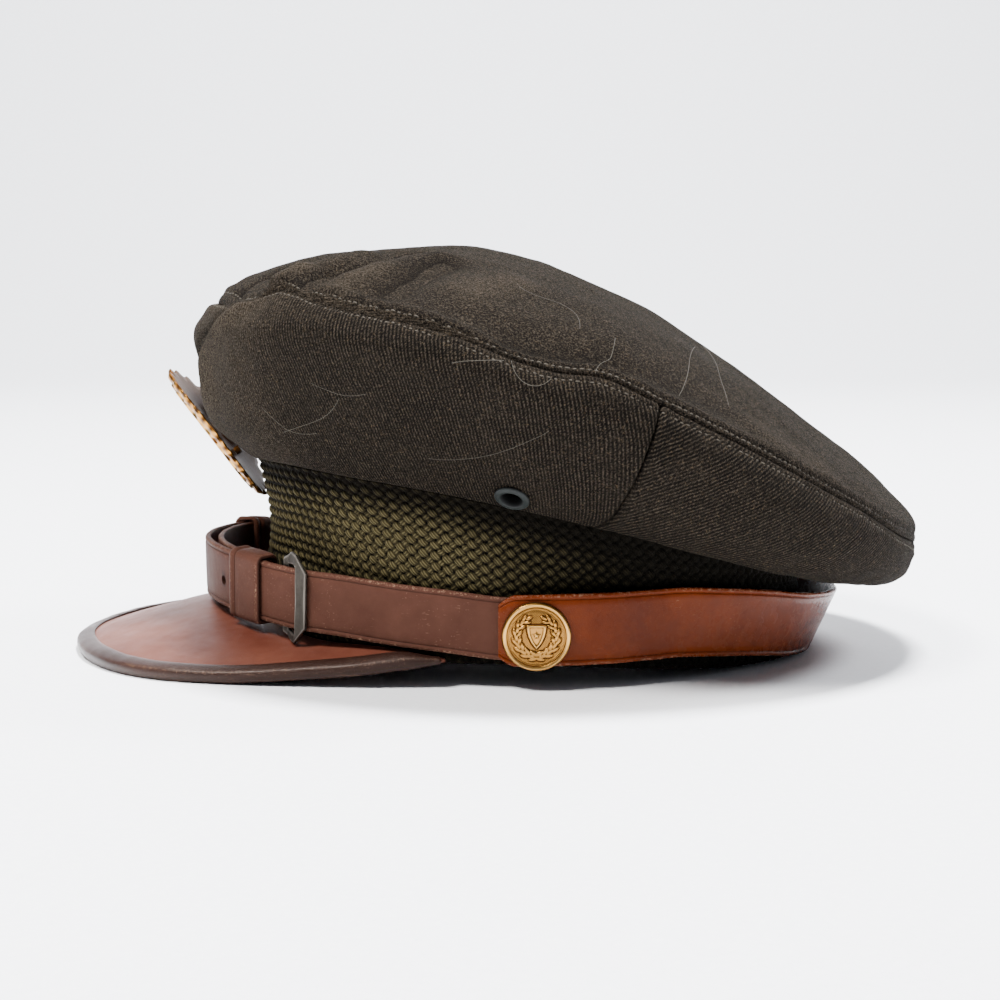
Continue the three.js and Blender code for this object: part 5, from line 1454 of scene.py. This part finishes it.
def backdrop():
    """Floor that curves up behind the object."""
    bend_y, bend_r, steps = 1600, 900, 16
    path = [(y, 0) for y in (-3000, -1500, -600, 0, 800, bend_y)]
    for k in range(1, steps + 1):
        a = math.radians(k * 90 / steps)
        path.append((bend_y + bend_r * math.sin(a), bend_r - bend_r * math.cos(a)))
    path.append((bend_y + bend_r, 3400))
    verts = [(x, y, z) for y, z in path for x in (-4000, 4000)]
    return new_object("floor", verts, [(i, i + 1, i + 3, i + 2) for i in range(0, len(verts) - 2, 2)])


def soft_light(name, place, aim, size, power, colour):
    """Rectangular light at a place in metres, turned toward its aim."""
    data = bpy.data.lights.new(name, "AREA")
    data.shape, data.size, data.size_y = "RECTANGLE", size[0], size[1]
    data.energy, data.color = power, colour
    obj = bpy.data.objects.new(name, data)
    obj.location = place
    obj.rotation_euler = (Vector(aim) - Vector(place)).to_track_quat("-Z", "Y").to_euler()
    bpy.context.scene.collection.objects.link(obj)


# Settings

def colour_setting(name, description, *shown):
    return bpy.props.FloatVectorProperty(name=name, description=description, default=srgb(*shown), size=3,
                                         subtype="COLOR")


class CapClothSettings(bpy.types.PropertyGroup):
    rib_pitch: bpy.props.FloatProperty(
        name="Rib pitch", description="Distance between the ribs of the twill", default=0.00114,
        unit="LENGTH")
    rib_depth: bpy.props.FloatProperty(
        name="Rib depth", description="Strength of the ribs", default=1.0, min=0.0, max=2.0, subtype="FACTOR")
    colour: colour_setting("Cloth colour", "Base colour of the wool", 27, 23.5, 19)
    thread: colour_setting("Thread colour", "Colour of the top stitching", 58, 51, 39)


class CapBandSettings(bpy.types.PropertyGroup):
    colour: colour_setting("Braid colour", "Base colour of the braid", 58, 52, 33)


class CapLeatherSettings(bpy.types.PropertyGroup):
    peak: colour_setting("Peak colour", "Base colour of the peak", 77, 37, 26)
    binding: colour_setting("Binding colour", "Base colour of the peak's edge", 27, 13, 9)
    front: colour_setting("Front strap colour", "Base colour of the front strap", 60, 36, 28)
    rear: colour_setting("Rear strap colour", "Base colour of the rear strap", 72, 26, 8)
    scuff: bpy.props.FloatProperty(
        name="Scuffing", description="Wear on the edges", default=0.6, min=0.0, max=1.0, subtype="FACTOR")


class CapMetalSettings(bpy.types.PropertyGroup):
    gilt: colour_setting("Gilt colour", "Colour of the buttons and the badge", 164, 118, 58)
    steel: colour_setting("Buckle colour", "Colour of the buckles", 88, 83, 77)


class CapStageSettings(bpy.types.PropertyGroup):
    camera_lens: bpy.props.FloatProperty(
        name="Lens", description="Focal length in millimetres on a 36 mm sensor", default=82.8, min=10.0)
    camera_place: bpy.props.FloatVectorProperty(
        name="Camera place", description="Where the camera stands", default=(0.00175, -0.8, 0.137), size=3,
        subtype="TRANSLATION", unit="LENGTH")
    camera_tilt: bpy.props.FloatProperty(
        name="Camera tilt", description="Angle below the horizon", default=math.radians(6.2),
        subtype="ANGLE", unit="ROTATION")
    key_power: bpy.props.FloatProperty(
        name="Key light", description="Power of the main soft light in watts", default=72.0, min=0.0)


def fineness():
    """Share of the full number of mesh rows."""
    return 1.0


class CAP_OT_crown(bpy.types.Operator):
    """Cloth crown: top panel, four side walls and their top stitching"""

    bl_idname = "cap.crown"
    bl_label = "Crown"

    def execute(self, context):
        s = context.scene.cap_cloth
        pitch, depth, base = s.rib_pitch / MM, s.rib_depth, tuple(s.colour)
        res = fineness()
        # The top panel's cloth colour is scaled to 0.8, painted shade that tones down the overhead light on
        # the top
        top = cloth_material("top_cloth", scaled(base, 0.8), pitch, depth * 0.35)
        looks = {True: cloth_material("front_cloth", base, pitch, depth),
                 False: cloth_material("rear_cloth", base, pitch * 1.1, depth)}
        finish_piece(top_panel(res), top, "crown_cloth", "crown_top")
        thread = plain_thread("thread", tuple(s.thread))
        finish_piece(stitches("top_stitches", *stitch_line_top(), 0.3), thread, "crown_cloth")
        finish_piece(lint_hairs(), plain_thread("lint_fibre", srgb(74, 69, 59)), "crown_cloth")
        for side, hand in ((1, "left"), (-1, "right")):
            for front in (True, False):
                node = f"quarter_{'front' if front else 'rear'}_{hand}"
                piece = quarter(node + "_cloth", side, front, res)
                if front:
                    origin, out = eyelet_frame(side)
                    punch(piece, origin, out, EYELET_HOLE_R + 0.9, -4, 4)
                finish_piece(piece, looks[front], "crown_cloth", node)
                row = stitches(node + "_stitches", *stitch_line_wall(side, front), 0.28)
                finish_piece(row, thread, "crown_cloth")
        return {"FINISHED"}


class CAP_OT_band(bpy.types.Operator):
    """Braided band"""

    bl_idname = "cap.band"
    bl_label = "Band"

    def execute(self, context):
        piece = closed_strip("band_braid", *band_sections(fineness()), ring=True)
        finish_piece(piece, braid_material(tuple(context.scene.cap_band.colour)), "band_braid", "band")
        return {"FINISHED"}


class CAP_OT_peak(bpy.types.Operator):
    """Leather peak and its folded binding"""

    bl_idname = "cap.peak"
    bl_label = "Peak"

    def execute(self, context):
        s = context.scene.cap_leather
        piece = closed_strip("peak_plate", *peak_sections(fineness()))
        look = leather_material("peak_russet", tuple(s.peak), srgb(104, 61, 47), rough=0.44, grain=0.7,
                                scuff=0.2, scratch=0.5, shine=0.2)
        finish_piece(piece, look, "peak_leather", "peak")
        look = leather_material("binding_brown", tuple(s.binding), srgb(45, 26, 20), rough=0.34, grain=1.6,
                                scuff=s.scuff * 1.1, scratch=0.4, shine=0.22, spots=0.45)
        finish_piece(binding_piece(fineness()), look, "binding_leather", "peak_binding")
        return {"FINISHED"}


class CAP_OT_front_strap(bpy.types.Operator):
    """Front strap layers with their keepers"""

    bl_idname = "cap.front_strap"
    bl_label = "Front strap"

    def execute(self, context):
        s = context.scene.cap_leather
        look = leather_material("strap_brown", tuple(s.front), srgb(78, 50, 40), rough=0.58, grain=1.0,
                                scuff=s.scuff, scratch=0.3, shine=0.05)
        for layer, side, start, stop, seed in (("outer", 1, 77, 206.5, 31), ("inner", -1, 143, 283, 41)):
            angles, narrow = front_angles(start, stop, int(230 * fineness()))
            piece = strap_piece(f"front_strap_{layer}_leather", FRONT_STRAP_ROWS, FRONT_STRAP_WIDE, angles,
                                layer, narrow, seed)
            shank_hole(piece, side)
            if layer == "outer":
                origin, _, out, up = strap_frame(PUNCH_ANGLE, layer)
                punch(piece, origin - up * PUNCH_DROP, out, PUNCH_R, -3, 1.5)
            finish_piece(piece, look, "front_strap_leather", f"front_strap_{layer}")
        for side, hand in ((1, "left"), (-1, "right")):
            angle, stack, half = KEEPERS[side]
            piece = keeper_piece(f"keeper_{hand}_leather", side * angle, stack, half)
            finish_piece(piece, look, "front_strap_leather", f"keeper_{hand}")
        return {"FINISHED"}


class CAP_OT_rear_strap(bpy.types.Operator):
    """Rear strap"""

    bl_idname = "cap.rear_strap"
    bl_label = "Rear strap"

    def execute(self, context):
        s = context.scene.cap_leather
        angles, narrow = rear_angles(int(240 * fineness()))
        piece = strap_piece("rear_strap_leather", REAR_STRAP_ROWS, REAR_STRAP_WIDE, angles, "reach", narrow,
                            51, wave=0.1)
        for side in (1, -1):
            shank_hole(piece, side)
        look = leather_material("rear_red_brown", tuple(s.rear), srgb(100, 42, 12), rough=0.27, grain=0.7,
                                scuff=s.scuff, scratch=0.35, shine=0.08)
        finish_piece(piece, look, "rear_strap_leather", "rear_strap")
        return {"FINISHED"}


class CAP_OT_metal(bpy.types.Operator):
    """Buckles, side buttons, badge and eyelets"""

    bl_idname = "cap.metal"
    bl_label = "Metal parts"

    def execute(self, context):
        s = context.scene.cap_metal
        steel = metal_material("buckle_steel", tuple(s.steel), srgb(42, 39, 35), rough=0.42, low=0.2,
                               high=0.8, brushed=1.0)
        gilt = metal_material("gilt", tuple(s.gilt), srgb(70, 42, 15), rough=0.3, low=0.1, high=0.75,
                              bright=srgb(214, 172, 104))
        enamel = metal_material("eyelet_grey", srgb(24, 27, 26), srgb(7, 8, 8), rough=0.5, low=0.0, high=0.8,
                                metallic=0.0, shine=0.12)
        for side, hand in ((1, "left"), (-1, "right")):
            piece = buckle_piece(f"buckle_{hand}_metal", side * BUCKLE_ANGLE)
            finish_piece(piece, steel, "buckle_metal", f"buckle_{hand}")
            piece = button_piece(f"button_{hand}_gilt", side, fineness())
            finish_piece(piece, gilt, "gilt", f"button_{hand}")
            piece = eyelet_piece(f"eyelet_{hand}_ring", side)
            finish_piece(piece, enamel, "eyelet_enamel", f"eyelet_{hand}")
        origin, up, out = badge_frame()
        under = [(1.0, 0.1), (0.9, 0.05), (0.5, 0.0), (0.01, 0.0)]
        piece = disc_piece("badge_plate", badge_height, badge_rim, origin, out, up, under,
                           int(320 * fineness()), int(88 * fineness()), BADGE_CURVE)
        finish_piece(piece, gilt, "gilt", "badge")
        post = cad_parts["badge_post"]
        post.data.materials.clear()
        post.data.materials.append(gilt)
        return {"FINISHED"}


class CAP_OT_stage(bpy.types.Operator):
    """Pale floor, soft studio light and the camera"""

    bl_idname = "cap.stage"
    bl_label = "Stage"

    def execute(self, context):
        s = context.scene.cap_stage
        floor = backdrop()
        p = Paint("pale_floor")
        speck = p.noise(p.place(), 0.35, 5.0, 0.75).span(0.3, 0.75)
        p.feed(Base_Color=p.blend(srgb(238, 239, 243), srgb(244, 245, 248), speck), Roughness=0.75,
               Specular_IOR_Level=0.3)
        floor.data.materials.append(p.material)
        for name, place, aim, size, share, colour in (
                ("front", (-0.8, -0.6, 1.6), (0, 0, 0.05), (0.6, 0.5), 1.1, (1.0, 0.98, 0.95)),
                ("side", (1.1, 0.3, 1.15), (0.1, 0, 0.04), (0.5, 0.4), 0.35, (0.97, 0.98, 1.0)),
                ("key", (0.1, 0.14, 1.8), (0, 0.03, 0.05), (0.45, 0.3), 2.2, (0.98, 0.985, 1.0)),
                ("wall", (0, 0.9, 1.5), (0, 2.5, 0.7), (2.0, 0.8), 0.9, (0.98, 0.99, 1.0))):
            soft_light(name, place, aim, size, s.key_power * share, colour)
        world = bpy.data.worlds.new("studio")
        world.use_nodes = True
        sky = world.node_tree.nodes["Background"].inputs
        sky["Color"].default_value, sky["Strength"].default_value = (0.86, 0.9, 1.0, 1.0), 0.24
        context.scene.world = world
        data = bpy.data.cameras.new("camera")
        data.lens, data.sensor_width = s.camera_lens, 36.0
        data.dof.use_dof = False
        data.clip_start, data.clip_end = 0.01, 50.0
        camera = bpy.data.objects.new("camera", data)
        camera.location = s.camera_place
        camera.rotation_euler = (math.pi / 2 - s.camera_tilt, 0, 0)
        context.scene.collection.objects.link(camera)
        context.scene.camera = camera
        return {"FINISHED"}


PIECE_OPERATORS = (CAP_OT_crown, CAP_OT_band, CAP_OT_peak, CAP_OT_front_strap, CAP_OT_rear_strap,
                   CAP_OT_metal, CAP_OT_stage)
SETTINGS = {"cap_cloth": CapClothSettings, "cap_band": CapBandSettings, "cap_leather": CapLeatherSettings,
            "cap_metal": CapMetalSettings, "cap_stage": CapStageSettings}


class CAP_PT_sidebar(bpy.types.Panel):
    """Pieces and stage of the cap"""

    bl_idname = "CAP_PT_sidebar"
    bl_label = "Cap"
    bl_space_type = "VIEW_3D"
    bl_region_type = "UI"
    bl_category = "Cap"

    def draw(self, context):
        for kind in PIECE_OPERATORS:
            self.layout.operator(kind.bl_idname)
        for name, group in SETTINGS.items():
            box = self.layout.box()
            for key in group.__annotations__:
                box.prop(getattr(context.scene, name), key)


CLASSES = (*SETTINGS.values(), *PIECE_OPERATORS, CAP_PT_sidebar)


def register():
    for kind in CLASSES:
        bpy.utils.register_class(kind)
    for name, group in SETTINGS.items():
        setattr(bpy.types.Scene, name, bpy.props.PointerProperty(type=group))


def unregister():
    for name in SETTINGS:
        delattr(bpy.types.Scene, name)
    for kind in reversed(CLASSES):
        bpy.utils.unregister_class(kind)


def main():
    register()
    for kind in PIECE_OPERATORS:
        group, name = kind.bl_idname.split(".")
        if getattr(getattr(bpy.ops, group), name)() != {"FINISHED"}:
            raise RuntimeError(f"{kind.bl_label} was not made")


if __name__ == "__main__":
    main()
